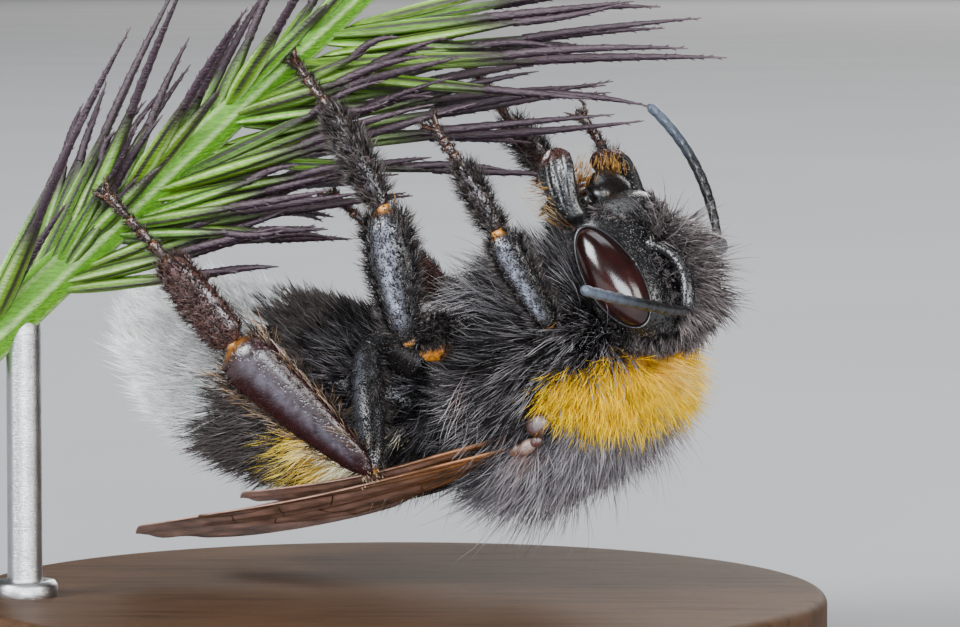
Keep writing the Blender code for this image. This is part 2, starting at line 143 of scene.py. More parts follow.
# Bare width of each leg piece at its top, middle and end, and how flat it is.
LEG_SIZES = {
    "fore": {"femur": ((0.5, 0.72, 0.46), 0.8), "tibia": ((0.5, 0.76, 0.82), 0.8),
             "basitarsus": ((0.42, 0.54, 0.42), 0.7)},
    "mid": {"femur": ((0.5, 0.78, 0.5), 0.8), "tibia": ((0.58, 1.1, 1.08), 0.74),
            "basitarsus": ((0.5, 0.7, 0.54), 0.6)},
    "hind": {"femur": ((0.6, 0.9, 0.56), 0.75), "tibia": ((0.5, 1.2, 1.55), 0.62),
             "basitarsus": ((0.9, 1.0, 0.7), 0.45)},
}
LEG_PIECES = ("femur", "tibia", "basitarsus", "tarsus")
LEG_THINNEST = 0.16
LEG_BOW = {"femur": 0.1, "tibia": 0.06, "basitarsus": 0.04}
FOOT_SHARES = (0.24, 0.2, 0.17, 0.39)
CLAW_ROOM = 0.25
POLLEN_AT = (-1.35, 2.55, -1.6)
POLLEN_RADIUS = 0.27

BASE_RADIUS = 10.0
BASE_TALL = 2.0
BASE_EDGE = 0.25
BASE_FOOT = 0.15
ROD_RADIUS = 0.4
ROD_STATION = 1.9  # along the stalk, to where the rod meets it
ROD_CLEAR = 0.95  # along the stalk, from the rod to the first spikelet that would pass through it
ROD_SUNK = 0.3
# The collar round the rod's foot: radius, and height above the base.
ROD_COLLAR = ((0.75, -0.2), (0.75, 0.25), (0.68, 0.35), (0.45, 0.35))
STAND_SIDES = 160

STALK_ENDS = ((-9.8, -1.0, 7.3), (-0.4, -1.0, 16.1))
STALK_RADII = (0.55, 0.36)
STALK_RIBS = 7
# Each spikelet: where it leaves the stalk, its climb and swing in degrees, and its length. Those
# that would leave it before the rod start beyond the rod instead, and keep their tips.
SPIKELETS = (
    (10.0, 1, 3, 10.1),
    (10.9, 5, -3, 8.0),
    (8.2, 15, 19, 5.9),
    (7.0, 4, -8, 10.6),
    (5.6, 16, 12, 8.1),
    (4.5, 9, 16, 6.2),
    (2.6, 13, 7, 6.4),
    (0.9, 52, 10, 6.6),
    (2.0, 66, -30, 6.2),
    (4.3, 6, -27, 8.0),
    (9.5, 5, -38.5, 8.2),
    (8.2, 3, -29, 10.2),
    (5.8, -1, -53, 8.6),
)

# ---------------------------------------------------------------- colours, linear
BLACK = (0.006, 0.0055, 0.006)
DARK_TIP = (0.020, 0.016, 0.016)
PALE_TIP = (0.40, 0.36, 0.38)
BROWN_TIP = (0.38, 0.31, 0.30)
BROWNED = (0.20, 0.16, 0.14)
YELLOW = (0.98, 0.46, 0.0)
YELLOW_TIP = (1.0, 0.64, 0.0)
LEMON = (0.98, 0.84, 0.38)
BAND_TIP = (1.0, 0.80, 0.10)
BAND_PALE_TIP = (1.0, 0.96, 0.80)
CREAM = (0.95, 0.84, 0.56)
WHITE = (0.88, 0.87, 0.85)
WHITE_TIP = (1.0, 1.0, 1.0)
RUSSET = (0.20, 0.055, 0.012)
AMBER = (0.36, 0.14, 0.018)
MAROON = (0.017, 0.004, 0.005)
# Painted highlight: the pale streak along the outer faces of the legs.
PAINTED_HIGHLIGHT = (0.42, 0.44, 0.55)
GOLD = (0.75, 0.42, 0.12)
GLINT = (0.78, 0.73, 0.74)
# Painted sheen toward the tip of each feeler.
FEELER_PAINTED_SHEEN = (0.08, 0.10, 0.135)
LEG_TINTS = {"femur": BLACK, "tibia": BLACK, "basitarsus": (0.02, 0.009, 0.007)}
HIND_TINTS = {"femur": BLACK, "tibia": MAROON, "basitarsus": (0.040, 0.011, 0.007)}
# How strongly the painted highlight streak shows on each leg piece.
LEG_PAINTED_HIGHLIGHT = {"femur": 0.25, "tibia": 0.44, "basitarsus": 0.1}


# ---------------------------------------------------------------- the coat's markings, painted backlight and size
ON_HEAD, ON_THORAX, ON_ABDOMEN = 0, 1, 2
# On the thorax, in the bee's frame: the collar's rear edge on the midline, how fast it runs
# back toward the flanks, the least it may be, what is added, and the lowest it reaches.
COLLAR_EDGE, COLLAR_SWEEP, COLLAR_LEAST, COLLAR_SHIFT = 2.12, 0.6, 0.42, 0.3
COLLAR_FLOOR = 0.4
# On the abdomen, along its arc, where the front is high: the band, the brown-tipped hair behind
# it and the white tail; and how high above the middle line the band begins.
BAND_FRONT, BAND_REAR, BAND_FLOOR = 2.95, 1.1, 0.75
BROWN_FRONT = 1.4
TAIL_FRONT = -0.35
RAGGED = 0.12
COLLAR_RED = 0.2  # a thorax hair whose root is redder than this belongs to the collar

THORAX_TUFTS, ABDOMEN_TUFTS, HEAD_TUFTS = 6400, 5200, 4200
PATCH = 0.003  # how wide a tuft's patch is on the bake map
MOST_TRIANGLES = 196000
BUDGETS = {"coat_collar": 140000, "coat_back": 176000, "coat_chest_right": 150000,
           "coat_abdomen_front": 170000, "coat_abdomen_tail": 170000, "coat_head": 190000}


# ---------------------------------------------------------------- small geometry
def unit(v):
    """The same vectors at length one."""
    return v / np.maximum(np.linalg.norm(v, axis=-1, keepdims=True), 1e-9)


def mix(a, b, share):
    """Colours or points part of the way from a to b."""
    share = np.asarray(share)[..., None]
    return np.asarray(a) * (1 - share) + np.asarray(b) * share


def smooth(low, high, x):
    """A soft step from 0 at low to 1 at high."""
    t = np.clip((x - low) / (high - low), 0, 1)
    return t * t * (3 - 2 * t)


def turn_matrix(degrees):
    return np.array(Euler([math.radians(d) for d in degrees], "XYZ").to_matrix())


def distance(start, end):
    return np.linalg.norm(np.array(end) - np.array(start))


def mirror(sign):
    """Factors that carry a place on the left to the side of this sign."""
    return np.array([1, sign, 1])


def turns(count):
    """Evenly spaced angles once round."""
    return np.arange(count) * TAU / count


class Frame:
    """An origin and three axes, in millimetres, placed in the world."""

    def __init__(self, at, axes):
        self.at = np.array(at, float)
        self.axes = np.array(axes, float)

    def out(self, points):
        return np.asarray(points) @ self.axes.T + self.at

    def way(self, vectors):
        return np.asarray(vectors) @ self.axes.T

    def into(self, points):
        return (np.asarray(points) - self.at) @ self.axes

    def inner(self, at, axes):
        return Frame(self.out(at), self.axes @ axes)


BEE = Frame(THORAX_AT, turn_matrix(THORAX_TURN))
HEAD = BEE.inner(HEAD_AT, turn_matrix((0, 0, HEAD_TURN)))
BELLY = BEE.inner(ABDOMEN_AT, turn_matrix((0, ABDOMEN_PITCH, 0)))
WORLD = Frame((0, 0, 0), np.eye(3))


def frame_along(parent, start, end, face):
    """A frame at start whose z runs to end and whose y is turned toward face."""
    start, end = np.array(start, float), np.array(end, float)
    along = unit(end - start)
    across = unit(np.cross(face, along))
    return parent.inner(start, np.stack([across, np.cross(along, across), along], 1))


def ball_rings(around, along):
    """Rings of a unit sphere from its lower pole to its upper one, along z."""
    lat = np.linspace(0.985, 0.015, along)[:, None] * math.pi
    lon = turns(around)[None]
    return stacked(np.sin(lat) * np.cos(lon), np.sin(lat) * np.sin(lon), np.cos(lat))


def loft(rings):
    """A closed surface through rings of points (n, m, 3), as points and triangles."""
    n, m, _ = rings.shape
    ends = np.stack([rings[0].mean(0), rings[-1].mean(0)])
    points = np.concatenate([rings.reshape(-1, 3), ends])
    row, col = np.meshgrid(np.arange(n - 1) * m, np.arange(m), indexing="ij")
    a = (row + col).ravel()
    b = (row + (col + 1) % m).ravel()
    here = np.arange(m)
    there = (here + 1) % m
    last = (n - 1) * m
    faces = np.concatenate([
        np.stack([a, b, b + m], 1),
        np.stack([a, b + m, a + m], 1),
        np.stack([there, here, np.full(m, n * m)], 1),
        np.stack([last + here, last + there, np.full(m, n * m + 1)], 1),
    ])
    return points, faces


def limb_grid(along, around):
    """Shares of a limb's length and angles round it, to be combined into rings."""
    return np.linspace(0, 1, along)[:, None], turns(around)[None]


def stacked(x, y, z):
    """Rings from x and y at each of their points and z at each point or each ring."""
    return np.stack([x, y, z + 0 * x], -1)


def each_ring(values, sides):
    """Values of a loft's rings, at each of its points."""
    return np.concatenate([np.repeat(values, sides), values[[0, -1]]])


def each_side(values, rings):
    """Values round a loft's rings, at each of its points; 0 at the middle of its two ends."""
    return np.concatenate([np.tile(values, rings), [0, 0]])


def join(shapes):
    """Several (points, faces, tint) as one."""
    points, faces, tints, count = [], [], [], 0
    for shape in shapes:
        points.append(shape[0])
        faces.append(shape[1] + count)
        tints.append(np.broadcast_to(shape[2], (len(shape[0]), 3)))
        count += len(shape[0])
    return np.concatenate(points), np.concatenate(faces), np.concatenate(tints)


def sweep(path, wide, deep=None, face=(0.0, 0.0, 1.0), sides=10):
    """A closed tube along a path, flattened where deep is less than wide (half widths)."""
    path = np.asarray(path, float)
    wide = np.broadcast_to(wide, len(path))
    deep = wide if deep is None else np.broadcast_to(deep, len(path))
    along = unit(np.gradient(path, axis=0))
    across = unit(np.cross(np.asarray(face, float), along))
    out = np.cross(along, across)
    angle = turns(sides)
    rings = (path[:, None] + across[:, None] * (np.cos(angle) * wide[:, None])[..., None]
             + out[:, None] * (np.sin(angle) * deep[:, None])[..., None])
    return loft(rings)


def parabola(start, middle, end, steps):
    """Points of the parabola that leaves start, passes middle and reaches end."""
    start, middle, end = (np.array(p, float) for p in (start, middle, end))
    bend = middle * 2 - (start + end) / 2
    t = np.linspace(0, 1, steps)[:, None]
    return start * (1 - t) ** 2 + bend * 2 * t * (1 - t) + end * t**2


def profile(stations, x):
    """A smooth value through evenly spaced stations, at x from 0 to 1."""
    stations = np.asarray(stations, float)
    spots = np.linspace(0, 1, len(stations))
    fine = np.linspace(0, 1, 201)
    values = np.interp(fine, spots, stations)
    kernel = np.hanning(200 // (len(stations) - 1) + 3)
    half = len(kernel) // 2
    padded = np.concatenate([2 * values[0] - values[half:0:-1], values,
                             2 * values[-1] - values[-2:-half - 2:-1]])
    values = np.convolve(padded, kernel / kernel.sum(), "valid")
    return np.interp(x, np.linspace(0, 1, len(values)), values)


def round_ends(share, bluntness=0.35, reach=0.12):
    """A factor that closes both ends of a limb in a rounded way."""
    near = np.minimum(share, 1 - share) / reach
    return np.clip(near, 0.02, 1) ** bluntness


# ---------------------------------------------------------------- pieces
def add_mesh(name, points, faces, look, tint=None, flat=False):
    """Makes a piece from points in millimetres; tint is its own colour at each point."""
    data = bpy.data.meshes.new(name)
    faces = np.ascontiguousarray(faces, np.int32)
    data.vertices.add(len(points))
    data.vertices.foreach_set("co", (np.asarray(points) * MM).astype(np.float32).ravel())
    data.loops.add(faces.size)
    data.loops.foreach_set("vertex_index", faces.ravel())
    data.polygons.add(len(faces))
    data.polygons.foreach_set("loop_start", np.arange(len(faces), dtype=np.int32) * 3)
    data.update(calc_edges=True)
    if flat:
        data.shade_flat()
    else:
        data.shade_smooth()
    if tint is not None:
        colour = data.color_attributes.new("tint", "FLOAT_COLOR", "POINT")
        tint = np.broadcast_to(np.asarray(tint, float), (len(points), 3))
        four = np.concatenate([tint, np.ones((len(points), 1))], 1)
        colour.data.foreach_set("color", four.astype(np.float32).ravel())
    data.materials.append(look)
    made = bpy.data.objects.new(name, data)
    bpy.context.scene.collection.objects.link(made)
    return made


def finish_piece(piece, slot, *nodes):
    """Lets the piece ride on the bee, and stand for the solids that it replaces."""
    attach(piece, "root")
    if nodes:
        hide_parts(*nodes)
    return piece


def add_piece(name, shapes, look, slot, *nodes):
    """Joins (points, faces, tint) shapes into one piece and finishes it."""
    points, faces, tint = join(shapes)
    return finish_piece(add_mesh(name, points, faces, look, tint), slot, *nodes)


# ---------------------------------------------------------------- materials
class Look:
    """A Principled material with the node helpers that the looks below share."""

    def __init__(self, name, roughness, **sockets):
        self.material = bpy.data.materials.new(name)
        self.material.use_nodes = True
        self.tree = self.material.node_tree
        self.shader = self.tree.nodes["Principled BSDF"]
        self.shader.inputs["Roughness"].default_value = roughness
        for socket, value in sockets.items():
            self.shader.inputs[socket.replace("_", " ")].default_value = value
        self.place = self.node("ShaderNodeTexCoord").outputs["Object"]

    def node(self, kind, **settings):
        made = self.tree.nodes.new(kind)
        for key, value in settings.items():
            setattr(made, key, value)
        return made

    def link(self, source, target):
        self.tree.links.new(source, target)

    def scaled(self, stretch):
        """The place on the object, in millimetres, stretched along each axis."""
        mapping = self.node("ShaderNodeMapping")
        mapping.inputs["Scale"].default_value = [s / MM for s in stretch]
        self.link(self.place, mapping.inputs["Vector"])
        return mapping.outputs["Vector"]

    def noise(self, scale, detail=3.0, stretch=(1, 1, 1), roughness=0.55):
        made = self.node("ShaderNodeTexNoise")
        made.inputs["Scale"].default_value = scale
        made.inputs["Detail"].default_value = detail
        made.inputs["Roughness"].default_value = roughness
        self.link(self.scaled(stretch), made.inputs["Vector"])
        return made.outputs["Fac"]

    def cells(self, scale, stretch=(1, 1, 1)):
        made = self.node("ShaderNodeTexVoronoi")
        made.inputs["Scale"].default_value = scale
        self.link(self.scaled(stretch), made.inputs["Vector"])
        return made.outputs["Distance"]

    def ramp(self, value, *stops):
        """A colour or grey for each (position, value) stop."""
        made = self.node("ShaderNodeValToRGB")
        points = made.color_ramp.elements
        while len(points) < len(stops):
            points.new(0.5)
        for point, (at, colour) in zip(points, stops):
            point.position = at
            colour = (colour,) * 3 if isinstance(colour, float) else colour
            point.color = (*colour, 1.0)
        self.link(value, made.inputs["Fac"])
        return made.outputs["Color"]

    def tint(self):
        made = self.node("ShaderNodeVertexColor", layer_name="tint")
        return made.outputs["Color"]

    def blend(self, a, b):
        """Two colours multiplied."""
        made = self.node("ShaderNodeMix", data_type="RGBA", blend_type="MULTIPLY")
        made.inputs[0].default_value = 1.0
        self.link(a, made.inputs[6])
        self.link(b, made.inputs[7])
        return made.outputs[2]

    def colour(self, source):
        self.link(source, self.shader.inputs["Base Color"])

    def tinted(self, value, *stops):
        """The piece's own tint, made darker and lighter by a ramp over value."""
        self.colour(self.blend(self.tint(), self.ramp(value, *stops)))

    def rough(self, source, low, high):
        made = self.node("ShaderNodeMapRange")
        made.inputs["To Min"].default_value = low
        made.inputs["To Max"].default_value = high
        self.link(source, made.inputs["Value"])
        self.link(made.outputs["Result"], self.shader.inputs["Roughness"])

    def bump(self, height, distance, strength=1.0):
        """Raises height, over what was raised before; distance in millimetres."""
        made = self.node("ShaderNodeBump")
        made.inputs["Strength"].default_value = strength
        made.inputs["Distance"].default_value = distance * MM
        self.link(height, made.inputs["Height"])
        before = self.shader.inputs["Normal"].links
        if before:
            self.link(before[0].from_socket, made.inputs["Normal"])
        self.link(made.outputs["Normal"], self.shader.inputs["Normal"])


def hair_look(name, index=1.18):
    """Fine hair: its own colour along each strand, a little uneven; index sets its gloss."""
    look = Look(name, 0.5, IOR=index)
    look.tinted(look.noise(2.2, 2.0), (0.3, 0.72), (0.7, 1.18))
    look.rough(look.noise(9.0, 1.0), 0.34, 0.52)
    return look.material


def chitin_look(name, pits, depth=0.03, gloss=(0.16, 0.36), index=1.62, painted_pit_shade=False):
    """Glossy black shell: fine pits, an uneven gloss and its own colour; where asked, painted
    shade darkens the pits and paints the ground between them lighter.
    """
    look = Look(name, 0.25, Specular_IOR_Level=0.9, IOR=index)
    grain = look.noise(5.0, 4.0)
    shade = look.blend(look.tint(), look.ramp(grain, (0.3, 0.7), (0.75, 1.35)))
    if painted_pit_shade:
        # Painted shade in the pits, and painted lighter ground between them.
        shade = look.blend(shade, look.ramp(look.cells(pits), (0.15, 0.1), (0.5, 1.6)))
    look.colour(shade)
    look.rough(look.noise(12.0, 3.0), *gloss)
    holes = look.ramp(look.cells(pits), (0.12, 0.0), (0.42, 1.0))
    look.bump(holes, depth)
    look.bump(look.noise(30.0, 2.0), depth * 0.3)
    return look.material


def eye_look():
    """Very dark maroon, with hexagon-like facets too fine to break the wet gloss."""
    look = Look("eye_facets", 0.1, Specular_IOR_Level=0.7)
    dark, light = (0.009, 0.0022, 0.002), (0.028, 0.006, 0.005)
    shade = look.ramp(look.noise(0.9, 2.0), (0.35, dark), (0.65, light))
    look.colour(look.blend(shade, look.tint()))
    facets = look.cells(32.0)
    look.rough(facets, 0.12, 0.22)
    look.bump(facets, 0.002, 0.5)
    return look.material


def pollen_look():
    """Matt, waxy grains pressed into a lump."""
    look = Look("pollen_grains", 0.7, Subsurface_Weight=0.1)
    look.shader.inputs["Subsurface Radius"].default_value = (0.0003, 0.0001, 0.00003)
    grains = look.cells(16.0)
    look.tinted(grains, (0.1, 1.15), (0.6, 0.6))
    look.rough(grains, 0.55, 0.8)
    look.bump(grains, 0.02)
    return look.material


def wing_look():
    """Smoky brown membrane, see-through, creased and grainy with minute hairs."""
    look = Look("wing_membrane", 0.3, Alpha=0.8, Specular_IOR_Level=0.5)
    look.tinted(look.noise(1.6, 5.0), (0.35, 0.45), (0.65, 1.5))
    look.rough(look.noise(6.0, 3.0), 0.2, 0.45)
    look.bump(look.noise(2.5, 3.0), 0.04)
    look.bump(look.cells(22.0), 0.004)
    return look.material


def vein_look():
    """Horny veins, a little uneven along their length."""
    look = Look("wing_veins", 0.35, Specular_IOR_Level=0.6)
    look.tinted(look.noise(4.0), (0.3, 0.65), (0.7, 1.25))
    look.rough(look.noise(10.0), 0.25, 0.45)
    look.bump(look.noise(25.0), 0.008)
    return look.material


def grass_look():
    """Green husk with pale ribs and margins in its tint, waxy and finely grained."""
    look = Look("grass_husk", 0.5)
    streaks = look.noise(3.0, 4.0, (1.0, 6.0, 6.0))
    look.tinted(streaks, (0.3, 0.62), (0.7, 1.25))
    look.rough(look.noise(8.0), 0.36, 0.62)
    look.bump(streaks, 0.03)
    look.bump(look.cells(16.0, stretch=(0.6, 1.6, 1.6)), 0.012)
    return look.material


def wood_look():
    """Dark stained wood with growth rings seen as long streaks, under a satin finish."""
    look = Look("stand_wood_stain", 0.5, Specular_IOR_Level=0.3, IOR=1.25)
    rings = look.noise(0.5, 6.0, (0.35, 3.2, 3.2), 0.65)
    fibres = look.noise(5.0, 4.0, (0.25, 5.0, 5.0))
    grain = look.ramp(rings, (0.3, (0.035, 0.018, 0.010)), (0.5, (0.085, 0.045, 0.024)),
                      (0.7, (0.045, 0.024, 0.013)))
    look.colour(look.blend(grain, look.ramp(fibres, (0.35, 0.7), (0.65, 1.15))))
    look.rough(fibres, 0.48, 0.66)
    look.bump(fibres, 0.02)
    return look.material


def steel_look():
    """Brushed steel: fine scratches round the rod and slight stains."""
    look = Look("stand_steel_brushed", 0.3, Metallic=1.0)
    scratches = look.noise(40.0, 2.0, (0.1, 0.1, 3.0))
    stains = look.noise(1.5, 3.0)
    look.colour(look.ramp(stains, (0.3, (0.42, 0.42, 0.43)), (0.7, (0.56, 0.56, 0.57))))
    look.rough(scratches, 0.2, 0.42)
    look.bump(scratches, 0.006)
    return look.material


def floor_look():
    """A pale matt table top, very slightly mottled."""
    look = Look("pale_floor", 0.8)
    mottle = look.noise(0.02, 3.0)
    look.colour(look.ramp(mottle, (0.3, (0.40, 0.40, 0.41)), (0.7, (0.44, 0.44, 0.45))))
    look.bump(look.noise(2.0, 3.0), 0.01)
    return look.material


HAIR = hair_look("coat_hair")
GOLD_HAIR = hair_look("gold_hair", 1.04)
LEG_HAIR = hair_look("leg_hair", 1.2)
SHELL = chitin_look("shell_black", pits=15.0, depth=0.01)
SKIN = chitin_look("body_skin", pits=14.0, depth=0.03, gloss=(0.1, 0.26), index=1.46)
BASKET = chitin_look("basket_shell", pits=13.0, depth=0.006, gloss=(0.06, 0.42), index=1.42)
LABRUM = chitin_look("labrum_shell", pits=9.0, depth=0.004, gloss=(0.15, 0.4), index=1.4)
CAP = chitin_look("wing_cap_shell", pits=16.0, depth=0.006, gloss=(0.35, 0.55))
LEG_SHELL = chitin_look("leg_shell", pits=18.0, gloss=(0.12, 0.3), index=1.5, painted_pit_shade=True)
JAW_SHELL = chitin_look("jaw_shell", pits=16.0, depth=0.012, gloss=(0.16, 0.38), index=1.46)
SCAPE_SHELL = chitin_look("scape_shell", pits=12.0, depth=0.03, gloss=(0.16, 0.36), index=1.5)
FEELER = chitin_look("feeler_shell", pits=26.0, depth=0.006, gloss=(0.22, 0.36), index=1.42)
POLLEN = pollen_look()
RIM = chitin_look("rim_shell", pits=40.0, depth=0.001, gloss=(0.15, 0.3), index=1.4)
EYE = eye_look()
MEMBRANE = wing_look()
VEIN = vein_look()
GRASS = grass_look()


# ---------------------------------------------------------------- the bare body
def swelling(y, z, drop, wide, tall, out):
    """How far a rounded swelling of the face stands out at y and z."""
    return np.exp(-((y / wide) ** 2) - ((z + drop) / tall) ** 2) * out


def oval_size(way, half):
    """The size of ways, measured in an oval's half lengths along, across, up and down."""
    along, across, up, down = half
    return np.sqrt((way[:, 0] / along) ** 2 + (way[:, 1] / across) ** 2
                   + (way[:, 2] / np.where(way[:, 2] > 0, up, down)) ** 2)


def oval(half, u):
    """Points of the unit sphere carried out to an oval."""
    along, across, up, down = half
    return np.stack([u[..., 0] * along, u[..., 1] * across,
                     u[..., 2] * np.where(u[..., 2] > 0, up, down)], -1)


def thorax_rings(around, along):
    """The bare thorax in the bee's frame, with the swelling of the scutellum behind."""
    u = ball_rings(around, along)[..., [2, 0, 1]]
    swell = np.maximum(u @ np.array(SCUTELLUM_WAY), 0)[..., None] ** 6 * 0.22
    return oval(THORAX_BARE, u) + swell * np.array(SCUTELLUM_WAY)


def head_rings(around, along):
    """The bare head in its own frame, lofted through its stations, with a full clypeus."""
    stations = np.array(HEAD_STATIONS)[::-1]
    share = (1 - np.cos(np.linspace(0, math.pi, along))) / 2
    spots = np.linspace(0, 1, len(stations))
    z, wide, front, back = (np.interp(share, spots, stations[:, k])[:, None] for k in range(4))
    angle = turns(around)[None]
    cos, sin = (np.sign(part) * np.abs(part) ** HEAD_SQUARENESS
                for part in (np.cos(angle), np.sin(angle)))
    x = cos * np.where(cos > 0, front, back)
    y = sin * wide
    swell = swelling(y, z, *CLYPEUS_SWELL) + swelling(y, z, *FACE_SWELL)
    return stacked(x + swell * smooth(0.2, 0.8, cos), y, z)


def abdomen_point(s, ring_y, ring_z):
    """A point of the abdomen from its place along the arc and its offsets in the section."""
    reach = ABDOMEN_BEND + ring_z
    turn = s / ABDOMEN_BEND
    return np.stack([reach * np.sin(turn), ring_y + 0 * turn,
                     reach * np.cos(turn) - ABDOMEN_BEND], -1)


def abdomen_rings(around, along):
    """The bare abdomen in its own frame; each plate overlaps the next with a small step."""
    u = ball_rings(around, along)[..., [2, 0, 1]]
    half, across, up, down = ABDOMEN_BARE
    ring = np.hypot(u[..., 1], u[..., 2])
    full = ring ** np.where(u[..., 0] > 0, 0.75, 1.0)
    s = u[..., 0] * half
    step = np.zeros_like(s)
    for end, before in zip(TERGITE_ENDS, (half,) + TERGITE_ENDS):
        inside = (s >= end) & (s < before)
        step = np.where(inside, TERGITE_STEP * (before - s) / (before - end), step)
    full = full * (1 + step)
    y = u[..., 1] / ring * across * full
    z = u[..., 2] / ring * np.where(u[..., 2] > 0, up, down) * full
    return abdomen_point(s, y, z)


def into_abdomen(points):
    """The arc place and section offsets of points in the abdomen's frame."""
    turn = np.arctan2(points[..., 0], points[..., 2] + ABDOMEN_BEND)
    reach = np.hypot(points[..., 0], points[..., 2] + ABDOMEN_BEND)
    return np.stack([turn * ABDOMEN_BEND, points[..., 1], reach - ABDOMEN_BEND], -1)


def markings_and_painted_backlight(points, where):
    """Root and tip colours of the hair over points in the world, where tells if they are on
    the head, the thorax or the abdomen; paler tips on top of the thorax and cream tips at the
    front of the collar are painted backlight."""
    n = len(points)
    ragged = random.normal(0, RAGGED, n)
    way = unit(BEE.into(points))
    x, y, z = (way / oval_size(way, THORAX_COAT)[:, None]).T
    arc = into_abdomen(BELLY.into(points))
    flank = np.abs(y)
    edge = np.maximum(COLLAR_EDGE - COLLAR_SWEEP * flank, COLLAR_LEAST) + COLLAR_SHIFT + ragged
    ceiling = (COLLAR_FLOOR + 0.65 * smooth(1.0, 1.7, flank) - 0.35 * smooth(2.3, 3.1, flank)
               + ragged)
    collar = (where == ON_THORAX) & (x > edge) & (z > ceiling)
    s, height = arc[:, 0] + ragged * 2.2, arc[:, 2]
    on_abdomen = where == ON_ABDOMEN
    band = on_abdomen & (s > BAND_REAR) & (s < BAND_FRONT) & (height > BAND_FLOOR + ragged)
    white = on_abdomen & (s < TAIL_FRONT - 0.9 * smooth(0.4, 1.8, height))
    brown = on_abdomen & (s < BROWN_FRONT)
    tip = mix(DARK_TIP, PALE_TIP, random.random(n) ** 7 * 0.8)
    # Painted backlight: the hair on top of the thorax gets paler tips.
    painted_backlight_top = (where == ON_THORAX) * smooth(1.2, 2.2, z)
    tip = mix(tip, PALE_TIP, painted_backlight_top * (0.5 + 0.5 * random.random(n)))
    gold = random.random(n)[:, None]
    # Painted backlight: cream tips at the front of the collar.
    ruff_and_painted_backlight = 0.65 * smooth(2.4, 2.9, x) * smooth(1.3, 0.6, flank)
    pale = smooth(1.4, 2.5, s)
    collar_root = np.array(YELLOW) * (0.85 + 0.2 * gold)
    collar_tip = mix(np.array(YELLOW_TIP) * (0.9 + 0.15 * gold), CREAM, ruff_and_painted_backlight)
    root = np.tile(BLACK, (n, 1))
    for here, root_there, tip_there in (
            (brown, root, mix(tip, BROWNED, 0.6)),
            (collar, collar_root, collar_tip),
            (band, mix(YELLOW, LEMON, pale), mix(BAND_TIP, BAND_PALE_TIP, pale)),
            (white, WHITE, WHITE_TIP)):
        root = np.where(here[:, None], root_there, root)
        tip = np.where(here[:, None], tip_there, tip)
    return root, tip


def remeshed(points, faces, size, rounds):
    """One watertight skin round shapes that cross each other, smoothed a little."""
    data = bpy.data.meshes.new("skin_guide")
    data.from_pydata([tuple(p) for p in points], [], faces.tolist())
    guide = bpy.data.objects.new("skin_guide", data)
    bpy.context.scene.collection.objects.link(guide)
    shell = guide.modifiers.new("one skin", "REMESH")
    shell.mode = "VOXEL"
    shell.voxel_size = size
    soft = guide.modifiers.new("soft", "SMOOTH")
    soft.factor = 0.5
    soft.iterations = rounds
    cut = guide.modifiers.new("triangles", "TRIANGULATE")
    cut.quad_method = "FIXED"
    graph = bpy.context.evaluated_depsgraph_get()
    made = guide.evaluated_get(graph).to_mesh()
    out = np.empty(len(made.vertices) * 3, np.float32)
    made.vertices.foreach_get("co", out)
    loops = np.empty(len(made.loops), np.int32)
    made.loops.foreach_get("vertex_index", loops)
    bpy.data.objects.remove(guide)
    return out.reshape(-1, 3).astype(float), loops.reshape(-1, 3)


def bare_shapes():
    """The bare head, thorax and abdomen, in the world: points and triangles of each."""
    shapes = {}
    for name, place, rings in (("head", HEAD, head_rings(72, 60)),
                               ("thorax", BEE, thorax_rings(64, 48)),
                               ("abdomen", BELLY, abdomen_rings(72, 120))):
        points, faces = loft(rings)
        shapes[name] = (place.out(points), faces)
    return shapes


def hip_shapes():
    """Coxa and trochanter of every leg, as swellings of the skin at the hip."""
    shapes = []
    for joints in LEGS.values():
        hip, knee = np.array(joints[0]), np.array(joints[1])
        inner = hip * np.array([0.9, 0.55, 0.75])
        path = parabola(inner, mix(inner, hip, 0.55), hip + unit(knee - hip) * 0.35, 9)
        wide = profile((0.75, 0.62, 0.42, 0.3), np.linspace(0, 1, 9))
        shapes.append(sweep(BEE.out(path), wide, sides=14))
    return shapes


def add_skin(shapes):
    """The seamless skin of head, neck, thorax, waist and abdomen, with the coat's markings."""
    links = [sweep(BEE.out(route), wide, sides=20) for route, wide in (NECK, WAIST)]
    everything = list(shapes.values()) + hip_shapes() + links
    points, faces, _ = join([(p, f, BLACK) for p, f in everything])
    points, faces = remeshed(points, faces, SKIN_GRAIN, SKIN_SOFTENING)
    from_thorax = np.linalg.norm(BEE.into(points) / 2.3, axis=1)
    from_abdomen = np.linalg.norm(BELLY.into(points) / np.array([4.2, 2.4, 2.2]), axis=1)
    from_head = np.linalg.norm(HEAD.into(points) / np.array([1.1, 1.8, 2.1]), axis=1)
    where = np.where(from_thorax < from_abdomen, ON_THORAX, ON_ABDOMEN)
    where[from_head < 1.1] = ON_HEAD
    root, _ = markings_and_painted_backlight(points, where)
    tint = np.maximum(root * 0.6, BLACK)
    add_piece("bee_skin", [(points, faces, tint)], SKIN, "coat", "head", "thorax", "abdomen")


# ---------------------------------------------------------------- the coat
def scatter(points, faces, count):
    """Random places on a surface, even by area, with their normals."""
    corners = points[faces]
    cross = np.cross(corners[:, 1] - corners[:, 0], corners[:, 2] - corners[:, 0])
    area = np.linalg.norm(cross, axis=1)
    normals = np.zeros_like(points)
    for k in range(3):
        np.add.at(normals, faces[:, k], cross)
    normals = unit(normals)
    pick = random.choice(len(faces), count, p=area / area.sum())
    a, b = random.random((2, count, 1))
    over = a + b > 1
    a, b = np.where(over, 1 - a, a), np.where(over, 1 - b, b)
    weights = np.concatenate([1 - a - b, a, b], 1)
    chosen = faces[pick]
    place = (points[chosen] * weights[..., None]).sum(1)
    return place, unit((normals[chosen] * weights[..., None]).sum(1))


